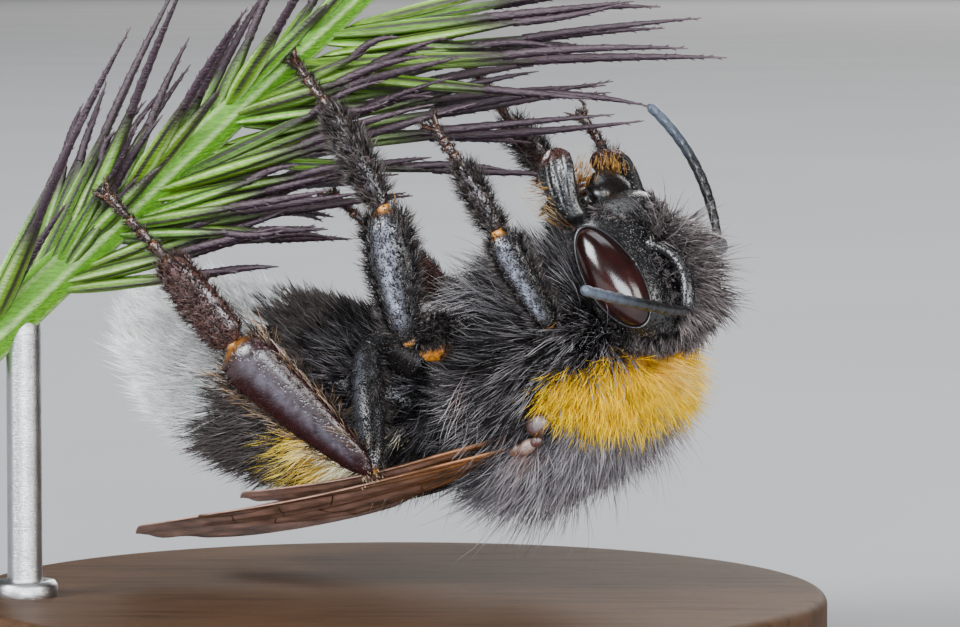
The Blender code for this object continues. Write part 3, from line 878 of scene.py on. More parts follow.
class Tufts:
    """Tufts of hair: where they root and how they lie, one row for each."""

    SETTINGS = ("lie", "length", "rise", "root", "tip", "thick", "map")

    def __init__(self, place, normal):
        n = len(place)
        self.place, self.normal = place, normal
        self.lie = np.zeros((n, 3))
        self.length = np.ones(n)
        self.rise = np.full(n, 0.6)
        self.root = np.tile(BLACK, (n, 1))
        self.tip = np.tile(DARK_TIP, (n, 1))
        self.thick = np.full(n, 0.013)
        self.map = np.zeros((n, 2))

    def only(self, keep):
        made = Tufts(self.place[keep], self.normal[keep])
        for key in self.SETTINGS:
            setattr(made, key, getattr(self, key)[keep])
        return made

    def comb(self, ways):
        """Lets the hair lie along ways, as far as the surface allows."""
        ways = np.asarray(ways, float)
        flat = ways - self.normal * (ways * self.normal).sum(1, keepdims=True)
        self.lie = unit(flat)


def strand_template(steps):
    """Rings, triangles and bake places of one closed three-sided hair."""
    rings = len(steps)
    faces, spots = [], []
    for ring in range(rings - 1):
        for side in range(3):
            a, b = ring * 3 + side, ring * 3 + (side + 1) % 3
            low, high = steps[ring], steps[ring + 1]
            left, right = side / 3, (side + 1) / 3
            faces += [(a, b, b + 3), (a, b + 3, a + 3)]
            spots += [((left, low), (right, low), (right, high)),
                      ((left, low), (right, high), (left, high))]
    top = (rings - 1) * 3
    for side in range(3):
        left, right = side / 3, (side + 1) / 3
        faces.append((top + side, top + (side + 1) % 3, rings * 3))
        spots.append(((left, steps[-1]), (right, steps[-1]), ((left + right) / 2, 1.0)))
    faces.append((2, 1, 0))
    spots.append(((0.66, 0.0), (0.33, 0.0), (0.5, 0.02)))
    return np.array(faces), np.array(spots)


def grow(name, tufts, look, strands, spread=0.09, clump=0.55, bend=0.75, wild=0.16,
         steps=(0.0, 0.42, 0.78), taper=(1.0, 0.85, 0.5), slot="coat", sunk=0.05, glints=0.5):
    """Turns tufts into one piece of solid hairs with its own bake map. Tufts past the piece's
    budget of triangles are left out; as they lie in random order, that thins it evenly."""
    most = BUDGETS.get(name, MOST_TRIANGLES) // ((len(steps) * 6 - 2) * strands)
    tufts = tufts.only(np.arange(len(tufts.place)) < most)
    m = len(tufts.place)
    shape = (m, strands)
    normal = tufts.normal[:, None]
    side = unit(np.cross(tufts.normal, tufts.lie + 1e-6))[:, None]
    forth = np.cross(side, normal)
    angle = random.random(shape) * TAU
    radius = np.sqrt(random.random(shape)) * spread
    offset = (side * (np.cos(angle) * radius)[..., None]
              + forth * (np.sin(angle) * radius)[..., None])
    rise = np.clip(tufts.rise[:, None] + random.normal(0, 0.06, shape), 0.05, 1)[..., None]
    stray = random.normal(0, wild, (*shape, 3)) + random.normal(0, wild * 0.6, (m, 1, 3))
    lie = tufts.lie[:, None]
    early = unit(normal * rise + lie * (1 - rise) + stray * 0.6)
    late_rise = rise * (1 - bend * 0.6)
    late = unit(normal * late_rise + lie * (1 - late_rise) + stray)
    length = tufts.length[:, None] * (0.62 + 0.45 * random.random(shape))
    length = length * (1 + 0.25 * (random.random((m, 1)) - 0.5))
    thick = tufts.thick[:, None] * (0.8 + 0.4 * random.random(shape))

    def spine(t):
        path = early * (t - t * t / 2) + late * (t * t / 2)
        return (tufts.place[:, None] - normal * sunk + offset * (1 - clump * t)
                + path * length[..., None])

    across = unit(np.cross(early, side + stray * 0.3 + 1e-6))
    other = np.cross(early, across)
    rings = []
    for t, factor in zip(steps, taper):
        middle = spine(t)
        for corner in range(3):
            turn = corner * TAU / 3
            wide = (thick * factor)[..., None]
            rings.append(middle + (across * math.cos(turn) + other * math.sin(turn)) * wide)
    rings.append(spine(1.0))
    points = np.stack(rings, 2)
    template, spots = strand_template(steps)
    per = points.shape[2]
    starts = (np.arange(m * strands) * per)[:, None, None]
    faces = (template[None] + starts).reshape(-1, 3)
    shade = (0.7 + 0.5 * random.random(shape))[..., None, None]
    glint = (random.random(shape) ** 10)[..., None, None] * glints
    reach = np.array([t for t in steps for _ in range(3)] + [1.0]) ** 1.4
    tip = mix(tufts.tip[:, None, None], GLINT, glint[..., 0])
    tint = mix(tufts.root[:, None, None], tip, np.broadcast_to(reach, (m, strands, per))) * shade
    made = add_mesh(name, points.reshape(-1, 3), faces, look, np.clip(tint, 0, 1).reshape(-1, 3))
    bake = made.data.uv_layers.new(name="OFBake")
    corner = tufts.map[:, None, None, None] + (spots[None, None] - 0.5) * PATCH
    corner = np.broadcast_to(corner, (m, strands, *spots.shape))
    bake.data.foreach_set("uv", corner.astype(np.float32).ravel())
    return finish_piece(made, slot)


def coat_reach(local, bare, coat):
    """How far the coat stands out from the bare body, straight out from points on it."""
    way = unit(local)
    return 1 / oval_size(way, coat) - 1 / oval_size(way, bare)


def globe_map(local, half):
    """Longitude and latitude round the x axis, fitted into the bake map."""
    around = np.arctan2(local[:, 2], local[:, 1]) / TAU + 0.5
    along = np.clip(local[:, 0] / half, -1, 1) * 0.5 + 0.5
    return np.stack([around, along], 1) * 0.94 + 0.03


def inside_head(points, slack):
    """Whether points lie inside an oval about as large as the bare head, times slack."""
    local = HEAD.into(points) / np.array([1.0, 1.7, 1.95])
    return np.linalg.norm(local, axis=1) < slack


def thorax_tufts(shapes):
    """Hair of the thorax: swept back over its top, longer on collar, scutellum and breast."""
    place, normal = scatter(*shapes["thorax"], THORAX_TUFTS)
    local = BEE.into(place)
    keep = ~inside_head(place, 0.95)
    belly = into_abdomen(BELLY.into(place))
    keep &= ~((np.abs(belly[:, 0]) < 4.0) & (np.hypot(belly[:, 1] / 2.2, belly[:, 2] / 1.9) < 0.9))
    tegula = np.abs(local) - np.array([0.1, 2.2, 1.2])
    keep &= ~(np.linalg.norm(tegula / np.array([0.36, 1.0, 0.28]), axis=1) < 0.85)
    tufts = Tufts(place, normal).only(keep)
    local = local[keep]
    reach = coat_reach(local, THORAX_BARE, THORAX_COAT)
    scutellum = np.maximum(unit(local) @ np.array(SCUTELLUM_WAY), 0) ** 5
    ruff_and_painted_backlight = np.maximum(unit(local) @ np.array(COLLAR_WAY), 0) ** 4
    low = smooth(0.3, -1.2, local[:, 2])
    breast = smooth(-1.1, -1.9, local[:, 2])
    ways = np.stack([-1.0 + 0.3 * low, 0.15 * np.sign(local[:, 1]), -1.1 * low + 0.1], 1)
    tufts.comb(BEE.way(ways + random.normal(0, 0.12, ways.shape)))
    tufts.rise = 0.72 - 0.24 * low - 0.12 * scutellum + 0.12 * ruff_and_painted_backlight + 0.2 * breast
    tufts.length = (reach + 0.75 * scutellum + 0.5 * ruff_and_painted_backlight) / (0.55 + 0.45 * tufts.rise) * 1.08
    tufts.length = tufts.length + 0.6 * breast
    tufts.root, tufts.tip = markings_and_painted_backlight(tufts.place, ON_THORAX)
    stray = (random.random(len(local)) < 0.08) & (tufts.root[:, 0] < COLLAR_RED)
    tufts.length = np.where(stray, tufts.length * 1.35, tufts.length)
    tufts.tip = np.where(stray[:, None], mix(tufts.tip, GLINT, 0.35), tufts.tip)
    tufts.map = globe_map(local, THORAX_BARE[0])
    buried = inside_head(tufts.place, 1.34) & (tufts.root[:, 0] > COLLAR_RED)
    return tufts.only(~buried), local[~buried]


def add_thorax_coat(shapes):
    """Collar, back, sides and chest, each a coat piece of its own."""
    tufts, local = thorax_tufts(shapes)
    gold = tufts.root[:, 0] > COLLAR_RED
    back = ~gold & (local[:, 2] > 0.75)
    left = ~gold & ~back & (local[:, 1] > 0)
    right = ~gold & ~back & (local[:, 1] <= 0)
    for name, keep, look, strands, glints in (
            ("coat_collar", gold, GOLD_HAIR, 12, 0.1), ("coat_back", back, HAIR, 9, 0.7),
            ("coat_chest_left", left, HAIR, 9, 0.7), ("coat_chest_right", right, HAIR, 7, 0.7)):
        grow(name, tufts.only(keep), look, strands, glints=glints)


def add_abdomen_coat(shapes):
    """Short dense hair on the plates, swept back, and a white fan at the tail."""
    place, normal = scatter(*shapes["abdomen"], ABDOMEN_TUFTS)
    arc = into_abdomen(BELLY.into(place))
    keep = np.linalg.norm(BEE.into(place) / 2.3, axis=1) > 1.0
    tufts, arc = Tufts(place, normal).only(keep), arc[keep]
    turn = arc[:, 0] / ABDOMEN_BEND
    back = np.stack([-np.cos(turn), 0 * turn, np.sin(turn)], 1)
    tufts.comb(BELLY.way(back + random.normal(0, 0.13, back.shape)))
    s, height = arc[:, 0], arc[:, 2]
    tail = smooth(-1.2, -3.2, s)
    under = smooth(0.3, -0.8, height)
    tufts.rise = 0.42 - 0.1 * tail + 0.1 * smooth(1.0, 3.0, s)
    tufts.length = 1.15 - 0.35 * under + 0.15 * smooth(1.5, 3.0, s) + 0.2 * tail
    tufts.root, tufts.tip = markings_and_painted_backlight(tufts.place, ON_ABDOMEN)
    tufts.map = globe_map(arc, ABDOMEN_BARE[0])
    front = s > 0.3
    for name, keep in (("coat_abdomen_front", front), ("coat_abdomen_tail", ~front)):
        grow(name, tufts.only(keep), HAIR, 8, steps=(0.0, 0.55), taper=(1.0, 0.75))


def add_head_coat(shapes):
    """Long erect hair on face and crown, short on the cheeks and beside the eyes, a little fuzz
    round eyes and mouth, and none on the eyes and the clypeus."""
    place, normal = scatter(*shapes["head"], HEAD_TUFTS)
    x, y, z = HEAD.into(place).T
    side = np.abs(y)
    width = np.where(x < 0.34, 1.05, 0.8)
    eye = (side > 0.75) & (((x - 0.34) / width) ** 2 + ((z + 0.2) / 1.6) ** 2 < 1)
    eye_itself = (side > 0.9) & (((x - 0.34) / 0.72) ** 2 + ((z + 0.2) / 1.42) ** 2 < 1)
    orbit = (side > 0.76) & (x > 0.2) & (z < 1.25) & (z > -1.1)
    neck = (x < -0.45) & (side < 1.0) & (np.abs(z) < 1.0)
    temple = (x > 0.5) & (side > 0.58) & (side < 0.95) & (z > -0.6) & (z < 1.0)
    bald = (x > 0.55) & (z < -0.95) & (side < 0.95) & ((side > 0.42) | (z < -1.5))
    bald |= (x > 0.5) & (side >= 0.95) & (side < 1.15) & (z > -0.7) & (z < 1.0)
    mouth = z < -1.75
    few = random.random(len(x)) < np.where(x > 0.5, 0.3, 0.8)
    fuzz = (eye | orbit | mouth) & ~bald & ~eye_itself & few
    keep = fuzz | temple | ~(eye | orbit | neck | mouth | bald)
    tufts = Tufts(place, normal).only(keep)
    x, y, z, fuzz, temple = x[keep], y[keep], z[keep], fuzz[keep], temple[keep]
    crown = smooth(0.3, 1.1, z)
    face = smooth(0.35, 0.8, x) * smooth(-1.3, -0.5, z)
    cheek = smooth(0.5, 0.0, x) * smooth(0.9, 0.3, z)
    behind = smooth(0.2, -0.4, x)
    ways = np.stack([-0.3 - 0.5 * cheek - 0.6 * behind, 0.12 * np.sign(y) * face,
                     0.35 * crown + 0.25 * face - 1.2 * cheek], 1)
    tufts.comb(HEAD.way(ways + random.normal(0, 0.2, ways.shape)))
    long = np.maximum(crown * (0.62 - 0.45 * behind), face)
    length = (0.26 + 0.88 * long * (1 - 0.5 * cheek)) * (0.7 + 0.65 * random.random(len(x)))
    length = length * (1 - 0.45 * smooth(0.9, 1.4, z))
    rise = 0.35 + 0.45 * np.maximum(crown, face) - 0.25 * behind
    thick = 0.010 + 0.002 * np.maximum(crown, face)
    tufts.length = np.where(fuzz, 0.15, np.where(temple, 0.24, length))
    tufts.rise = np.where(fuzz, 0.3, np.where(temple, 0.2, rise))
    tufts.thick = np.where(fuzz | temple, 0.006, thick)
    tufts.tip = mix(DARK_TIP, BROWN_TIP, random.random(len(x)) ** 1.1)
    around = np.arctan2(y, x) / TAU + 0.5
    tufts.map = np.stack([around, (z + 2.2) / 4.0], 1) * 0.94 + 0.03
    grow("coat_head", tufts, HAIR, 6, 0.075, 0.85, wild=0.2, sunk=0.02)


# ---------------------------------------------------------------- head parts
def eye_points(side):
    """The frame of a compound eye, and its rings in that frame."""
    u = ball_rings(56, 40)
    narrow = 1 - EYE_NARROWER * np.maximum(-u[..., 2], 0)
    local = np.stack([u[..., 0] * EYE_HALF[0] * narrow, u[..., 1] * EYE_HALF[1],
                      u[..., 2] * EYE_HALF[2]], -1)
    at = np.array(EYE_AT) * mirror(side)
    return HEAD.inner(at, turn_matrix((0, 0, EYE_TILT * side))), local


def add_eyes():
    """The compound eyes, each with a thin raised rim where it meets the head."""
    angle = np.linspace(0, TAU, 73)
    narrow = 1 - EYE_NARROWER * np.maximum(-np.sin(angle), 0)
    for side, sign in SIDES.items():
        place, local = eye_points(sign)
        points, faces = loft(local)
        shade = 0.75 + 0.5 * smooth(-1.0, 1.0, points[:, 2] / EYE_HALF[2])
        tint = mix((0, 0, 0), (1, 1, 1), shade)
        add_piece("bee_eye_" + side, [(place.out(points), faces, tint)], EYE, "eye", "eye_" + side)
        rim = np.stack([np.cos(angle) * EYE_HALF[0] * narrow, np.full(len(angle), 0.06 * sign),
                        np.sin(angle) * EYE_HALF[2]], 1) * RIM_SPREAD
        edge = sweep(place.out(rim), RIM_THICK, face=place.way((0, 1, 0)), sides=8)
        add_piece("eye_rim_" + side, [(*edge, BLACK)], RIM, "shell")


def add_ocelli():
    """Three simple eyes on the crown."""
    points, faces = loft(ball_rings(16, 10) * OCELLUS_RADIUS)
    shapes = [(HEAD.out(points + np.array(at)), faces, (0.6, 0.24, 0.16)) for at in OCELLI_AT]
    add_piece("ocelli", shapes, EYE, "eye")


def add_mandibles():
    """Broad curved jaws with lengthwise ridges and a toothed, reddish end."""
    for side, sign in SIDES.items():
        start, end = MANDIBLE[side]
        place = frame_along(HEAD, start, end, (0, sign, 0))
        long = distance(start, end)
        share, angle = limb_grid(40, 40)
        across = np.cos(angle)
        rounded = round_ends(share, 0.4, 0.1)
        wide = profile((0.4, 0.33, 0.42, 0.5, 0.42), share) * rounded
        deep = profile((0.28, 0.26, 0.22, 0.17, 0.1), share) * rounded
        outer = np.maximum(np.sin(angle), 0)
        wavy = across * 17.0 + 1.2 * np.sin(share * 6.0 + across * 2.0)
        ridges = 1 + 0.24 * outer * np.cos(wavy) * smooth(0.05, 0.3, share)
        y = np.sin(angle) * deep * ridges + 0.18 * np.sin(share * math.pi)
        teeth = 0.07 * np.cos(across * 7.0) * smooth(0.85, 1.0, share)
        points, faces = loft(stacked(across * wide, y, share * long + teeth))
        tint = mix(BLACK, (0.03, 0.007, 0.004), smooth(0.75, 1.0, points[:, 2] / long))
        jaw = (place.out(points), faces, tint)
        add_piece("jaw_" + side, [jaw], JAW_SHELL, "shell", "mandible_" + side)


def add_mouth():
    """The labrum under the clypeus, and the folded tongue sheath that runs back below."""
    start, end = PROBOSCIS
    middle = mix(start, end, 0.45) + np.array([0, 0, -0.12])
    share = np.linspace(0, 1, 26)
    wide = profile((0.2, 0.26, 0.22, 0.14, 0.06), share) * round_ends(share)
    shapes = []
    for side, drop in ((0.2, 0.0), (-0.2, 0.0), (0.0, -0.14)):
        path = parabola(start, middle, end, len(share)) + np.array([0, side, drop])
        strand = sweep(HEAD.out(path), wide, wide * 0.6, HEAD.way((0, 0, 1)), 14)
        shapes.append((*strand, (0.05, 0.018, 0.008)))
    add_piece("tongue_sheath", shapes, SHELL, "shell", "proboscis")
    points, faces = loft(ball_rings(40, 24) * np.array(LABRUM_HALF) + np.array(LABRUM_AT))
    add_piece("labrum", [(HEAD.out(points), faces, (0.006, 0.004, 0.004))], LABRUM, "shell")


def add_feelers():
    """Each feeler: a curved scape on a ball joint, and eleven ringed joints beyond it."""
    for side in SIDES:
        path = parabola(*SCAPE[side], 30)
        share = np.linspace(0, 1, 30)
        wide = profile((0.11, 0.13, 0.14, 0.16, 0.17), share) * round_ends(share, 0.4, 0.05)
        shapes = [(*sweep(HEAD.out(path), wide, sides=16), BLACK)]
        for radius, at in ((0.2, 0.0), (0.15, 0.03)):
            spot = path[0] + (path[1] - path[0]) * at
            points, faces = loft(ball_rings(20, 12) * radius)
            shapes.append((HEAD.out(points + spot), faces, BLACK))
        add_piece("feeler_base_" + side, shapes, SCAPE_SHELL, "shell", "scape_" + side)

        route = parabola(*FLAGELLUM[side], 121)
        route[0] = path[-1]
        share = np.linspace(0, 1, 121)
        swell = 0.86 + 0.14 * np.sin((share * FLAGELLUM_JOINTS) % 1 * math.pi) ** 0.5
        wide = profile((0.1, 0.125, 0.13, 0.13, 0.13, 0.12), share) * swell
        wide = wide * round_ends(share, 0.5, 0.03)
        ring = each_ring(share, 14)
        # Painted sheen: the whip turns pale bluish toward its tip.
        painted_sheen = mix(BLACK, FEELER_PAINTED_SHEEN, smooth(0.4, 1.0, ring))
        dark = 0.45 + 0.55 * np.sin((ring * FLAGELLUM_JOINTS) % 1 * math.pi) ** 0.3
        whip = (*sweep(HEAD.out(route), wide, sides=14), painted_sheen * dark[:, None])
        add_piece("feeler_whip_" + side, [whip], FEELER, "shell", "flagellum_" + side)


# ---------------------------------------------------------------- legs
def leg_shape(pair, piece, place, long):
    """One length of a leg above the small joints of its foot."""
    points, faces = loft(leg_rings(pair, piece, long))
    share = points[:, 2] / long
    half = profile(LEG_SIZES[pair][piece][0], np.clip(share, 0, 1)) / 2
    tint = leg_tint(pair, piece, share, points[:, 0] / half, points[:, 1])
    return place.out(points), faces, tint


def shin_end_shapes(pair, place, long):
    """The amber ball of the ankle and, but for the fore legs, two spurs."""
    knob, faces = loft(ball_rings(16, 10) * 0.16)
    ball = (place.out(knob + np.array([0, 0, long])), faces, AMBER)
    return [ball] if pair == "fore" else spur_shapes(place, long) + [ball]


def leg_rings(pair, piece, long):
    """One leg piece in its own frame: z to its end, y out of its outer face."""
    widths, flatness = LEG_SIZES[pair][piece]
    share, angle = limb_grid(40, 32)
    wide = profile(widths, share) / 2 * round_ends(share)
    deep = np.maximum(wide * flatness, np.minimum(wide, LEG_THINNEST))
    bow = LEG_BOW[piece] * np.sin(share * math.pi)
    return stacked(np.cos(angle) * wide, np.sin(angle) * deep + bow, share * long)


def leg_tint(pair, piece, share, across, outer):
    """Black-brown shell, reddish toward the foot, amber at the joints and with a painted
    highlight, a pale streak along the middle of each outer face."""
    base = (HIND_TINTS if pair == "hind" else LEG_TINTS)[piece]
    tint = np.tile(base, (len(share), 1))
    # Painted highlight: a pale, grainy streak along the middle of the outer face.
    painted_streak = (np.exp(-((across + 0.12) / 0.3) ** 2) * smooth(0.05, 0.25, share)
              * smooth(1.0, 0.85, share))
    painted_streak = painted_streak * (0.35 + 0.9 * random.random(len(share)))
    strength = LEG_PAINTED_HIGHLIGHT[piece] * (0.3 if pair == "hind" else 1)
    tint = mix(tint, PAINTED_HIGHLIGHT, painted_streak * strength * (outer > 0))
    end = smooth(0.965, 1.0, share) if piece != "basitarsus" else smooth(0.96, 1.0, share) * 0.5
    return mix(tint, AMBER, end * 0.8)


def claw_shapes(place, long):
    """Two hooked claws and the pad between them, at the end of a foot."""
    shapes = []
    for sign in (1, -1):
        path = parabola((0.05 * sign, 0, long - 0.1), (0.2 * sign, 0.02, long + 0.16),
                        (0.24 * sign, -0.22, long + 0.26), 12)
        claw = sweep(place.out(path), np.linspace(0.065, 0.008, 12), sides=8,
                     face=place.way((1, 0, 0)))
        shapes.append((*claw, (0.05, 0.016, 0.006)))
    pad, faces = loft(ball_rings(12, 8) * np.array([0.09, 0.07, 0.12]))
    shapes.append((place.out(pad + np.array([0, -0.03, long + 0.05])), faces, (0.03, 0.02, 0.015)))
    return shapes


def foot_shapes(start, end, outward):
    """The four small joints of a foot, each wider at its far end, and the claws."""
    place = frame_along(BEE, start, end, outward)
    whole = distance(start, end) - CLAW_ROOM
    share = np.linspace(0, 1, 14)
    wide = profile((0.085, 0.115, 0.145), share) * round_ends(share, 0.4, 0.12)
    tint = mix((0.024, 0.008, 0.005), RUSSET, smooth(0.5, 1.0, each_ring(share, 14)) * 0.25)
    shapes, at = [], 0.0
    for length in np.array(FOOT_SHARES) * whole:
        bow = 0.05 * np.sin((at + share * length) / whole * math.pi)
        path = np.stack([0 * share, bow, at + share * length * 1.03], 1)
        shapes.append((*sweep(place.out(path), wide, wide * 0.85, place.way((0, 1, 0)), 14), tint))
        at += length
    return shapes + claw_shapes(place, whole)


def spur_shapes(place, long):
    """A pair of pale spurs at the end of a shin."""
    shapes = []
    for sign in (0.5, -1):
        path = parabola((0.1 * sign, -0.1, long - 0.15), (0.2 * sign, -0.2, long + 0.08),
                        (0.22 * sign, -0.2, long + 0.35), 10)
        spur = sweep(place.out(path), np.linspace(0.035, 0.006, 10), sides=7,
                     face=place.way((1, 0, 0)))
        shapes.append((*spur, AMBER))
    return shapes


def add_legs():
    """Every leg's four pieces; returns the outer surfaces that hair grows on."""
    surfaces = []
    for leg, joints in LEGS.items():
        pair, side = leg.split("_")
        outward = (0.0, SIDES[side], 0.0)
        for piece, start, end in zip(LEG_PIECES, joints, joints[1:]):
            place = frame_along(BEE, start, end, outward)
            long = distance(start, end)
            if piece == "tarsus":
                shapes = foot_shapes(start, end, outward)
                hairy = join(shapes)[:2]
            else:
                shapes = [leg_shape(pair, piece, place, long)]
                hairy = shapes[0][:2]
            if piece == "tibia":
                shapes += shin_end_shapes(pair, place, long)
            look = BASKET if (pair, piece) == ("hind", "tibia") else LEG_SHELL
            slot = "foot" if piece in ("basitarsus", "tarsus") else "shell"
            add_piece(f"leg_{piece}_{leg}", shapes, look, slot, f"{piece}_{leg}")
            surfaces.append((pair, side, piece, place, long, *hairy))
    return surfaces


# Tufts and hair length on each leg piece.
LEG_HAIRS = {
    "fore": {"femur": (430, 0.36), "tibia": (850, 0.3),
             "basitarsus": (620, 0.36), "tarsus": (170, 0.15)},
    "mid": {"femur": (480, 0.36), "tibia": (1150, 0.4),
            "basitarsus": (850, 0.4), "tarsus": (200, 0.17)},
    "hind": {"femur": (430, 0.34), "tibia": (650, 0.3),
             "basitarsus": (950, 0.26), "tarsus": (220, 0.18)},
}
FRINGE_BRISTLES = 24


def leg_tufts(surface, cell):
    """Hair of one leg piece, lying toward the foot; the pollen basket stays bare."""
    pair, _, piece, place, long, points, faces = surface
    count, length = LEG_HAIRS[pair][piece]
    roots, normals = scatter(points, faces, count)
    local = place.into(roots)
    share = local[:, 2] / long
    widths = LEG_SIZES[pair][piece][0] if piece != "tarsus" else (0.3, 0.3)
    across = np.abs(local[:, 0] / (profile(widths, np.clip(share, 0, 1)) / 2))
    outer = local[:, 1] > 0
    tufts = Tufts(roots, normals)
    tufts.comb(place.way(np.array([0, 0, 1.0]) + random.normal(0, 0.2, (count, 3))))
    tufts.length = length * (0.75 + 0.5 * random.random(count))
    tufts.tip = mix(DARK_TIP, (0.34, 0.27, 0.24), random.random(count) ** 3 * 0.8)
    keep = (share > 0.04) & (share < 0.99)
    polished = outer & (across < 0.6) & (piece in ("tibia", "femur"))
    keep &= ~polished | (random.random(count) < 0.62)
    tufts.length = np.where(polished, tufts.length * 0.55, tufts.length)
    tufts.rise = np.where(polished, 0.42, 0.68)
    tufts.thick = np.full(count, 0.0085)
    if (pair, piece) == ("hind", "tibia"):
        edge = across > 0.72
        keep &= ~(outer & ~edge & (share > 0.12) & (share < 0.93))
        keep &= ~edge | (random.random(count) < 0.4)
        tufts.length = np.where(edge, 0.5, tufts.length)
        tufts.thick = np.where(edge, 0.009, tufts.thick)
        edge |= share > 0.93
        fringe = mix(DARK_TIP, (0.50, 0.29, 0.15), random.random(count) ** 1.3)
        tufts.tip = np.where(edge[:, None], fringe, tufts.tip)
    if (pair, piece) == ("hind", "basitarsus"):
        tufts.tip = mix((0.05, 0.02, 0.015), (0.24, 0.14, 0.12), random.random(count) ** 2)
    column, row = cell
    around = np.arctan2(local[:, 1], local[:, 0]) / TAU + 0.5
    tufts.map = np.stack([(column + 0.08 + 0.84 * around) / len(LEG_SIZES),
                          (row + 0.08 + 0.84 * np.clip(share, 0, 1)) / len(LEG_PIECES)], 1)
    return tufts.only(keep)


def basket_fringe(surface):
    """Long stiff bristles on both rims of the pollen basket, bent inward over it."""
    place, long = surface[3], surface[4]
    widths, flatness = LEG_SIZES["hind"]["tibia"]
    count = FRINGE_BRISTLES * 2
    share = np.repeat(np.linspace(0.15, 0.97, FRINGE_BRISTLES), 2)
    share = share + random.normal(0, 0.014, count)
    rim = np.tile([1.0, -1.0], FRINGE_BRISTLES)
    half = profile(widths, np.clip(share, 0, 1)) / 2
    at = np.stack([rim * half * 0.9, half * flatness * 0.3, share * long], 1)
    up = np.stack([rim * 0.92, np.full(count, 0.35), np.full(count, 0.2)], 1)
    over = np.stack([-rim * 0.2, np.full(count, 0.25), np.full(count, 0.95)], 1)
    tufts = Tufts(place.out(at), place.way(unit(up)))
    tufts.comb(place.way(over))
    tufts.length = 0.6 + 0.4 * random.random(count)
    tufts.rise = np.full(count, 0.62)
    tufts.tip = mix((0.25, 0.13, 0.07), (0.85, 0.58, 0.34), random.random(count))
    tufts.map = globe_map(BEE.into(tufts.place), 8.0)
    return tufts


def merged(groups):
    """Several sets of tufts as one."""
    made = Tufts(*(np.concatenate([getattr(g, key) for g in groups]) for key in ("place", "normal")))
    for key in Tufts.SETTINGS:
        setattr(made, key, np.concatenate([getattr(g, key) for g in groups]))
    return made


def add_leg_hair(surfaces):
    """Hair of all legs, one piece for each side; the hidden right side has fewer tufts."""
    pairs = tuple(LEG_SIZES)
    for side in SIDES:
        groups = [leg_tufts(s, (pairs.index(s[0]), LEG_PIECES.index(s[2])))
                  for s in surfaces if s[1] == side]
        if side == "right":
            groups = [g.only(random.random(len(g.place)) < 0.72) for g in groups]
        grow("coat_legs_" + side, merged(groups), LEG_HAIR, 3, 0.06, 0.0, wild=0.24,
             steps=(0.0, 0.5), taper=(1.0, 0.7), slot="foot", sunk=0.008)


# Single bristles: frame, root, the way they stand, the way they bend, length, how many, how
# far apart, and the colours of root and tip. The right side has the same, mirrored.
BRISTLES = (
    (HEAD, (0.0, 1.5, -2.0), (-0.3, 0.6, -0.3), (0.5, 0.0, -0.63), 1.5, 7, 0.14, GOLD, CREAM),
    (HEAD, (-0.1, 1.5, -2.1), (-0.4, 0.6, -0.5), (0.5, 0.0, -0.63), 1.0, 5, 0.26, RUSSET, GOLD),
    (HEAD, (0.66, 1.0, -2.6), (0.43, -0.2, -0.11), (0.1, 0.0, -0.8), 0.3, 60, 0.14, AMBER, GOLD),
    (HEAD, (0.62, 0.5, -1.6), (0.6, 0.1, -0.5), (0.0, 0.3, -0.5), 0.28, 50, 0.12, AMBER, GOLD),
    (HEAD, (0.1, 1.72, -2.7), (-0.5, 0.6, -0.1), (-0.3, 0.0, -0.6), 0.26, 30, 0.16, RUSSET, GOLD),
    (BEE, (1.4, 2.0, 1.0), (0.2, 0.7, 0.6), (0.0, 0.1, 0.9), 1.3, 3, 0.05, PALE_TIP, WHITE_TIP),
    (BEE, (-0.8, 2.25, -0.4), (-0.9, 0.6, 0.2), (-0.6, 0.1, 0.7), 1.5, 16, 0.34, RUSSET, GLINT),
    (BEE, (0.5, 1.6, -1.5), (-0.5, 0.3, -0.8), (-0.8, 0.3, 0.6), 2.0, 34, 0.34, BLACK, GLINT),
    (BEE, (-1.25, 2.1, -1.5), (-0.3, 0.8, -0.2), (0.6, 0.1, 0.5), 0.9, 40, 0.16, AMBER, AMBER),
    (BEE, (-0.8, 2.2, 1.5), (-0.5, 0.8, 0.3), (-0.8, 0.0, 0.4), 0.9, 40, 0.2, RUSSET, PALE_TIP),
    (BEE, (-3.5, 4.3, 0.2), (-0.2, 0.9, 0.5), (0.3, 0.0, 0.8), 0.14, 16, 0.12, RUSSET, CREAM),
)


def right_jaw_shift(height):
    """How much nearer the middle the right jaw lies than the left one, at each height."""
    reach = []
    for side in ("left", "right"):
        start, end = MANDIBLE[side]
        share = np.clip((height - start[2]) / (end[2] - start[2]), 0, 1)
        reach.append(np.abs(start[1] + (end[1] - start[1]) * share))
    return reach[0] - reach[1]


def add_bristles(surfaces):
    """The long curved bristles at jaws, shoulders, hips and pollen baskets."""
    for side, sign in SIDES.items():
        flip = mirror(sign)
        groups = []
        for place, at, stand, bend, length, count, apart, root, tip in BRISTLES:
            spots = at + random.normal(0, apart, (count, 3))
            if place is HEAD and side == "right":
                spots[:, 1] -= right_jaw_shift(spots[:, 2])
            up = np.tile(unit(np.array(stand) * flip), (count, 1))
            made = Tufts(place.out(spots * flip), place.way(up))
            made.comb(np.tile(place.way(np.array(bend) * flip), (count, 1)))
            made.length = length * (0.75 + 0.5 * random.random(count))
            made.rise = np.full(count, 0.8)
            made.root = np.tile(root, (count, 1)) * 0.5
            made.tip = np.tile(tip, (count, 1))
            made.thick = np.full(count, 0.007)
            made.map = globe_map(BEE.into(made.place), 6.0)
            groups.append(made)
        groups += [basket_fringe(s) for s in surfaces if s[:3] == ("hind", side, "tibia")]
        grow("coat_bristles_" + side, merged(groups), HAIR, 2, 0.06, 0.1, bend=0.7, wild=0.1,
             steps=(0.0, 0.3, 0.6, 0.85), taper=(1.0, 0.9, 0.7, 0.4), sunk=0.02)


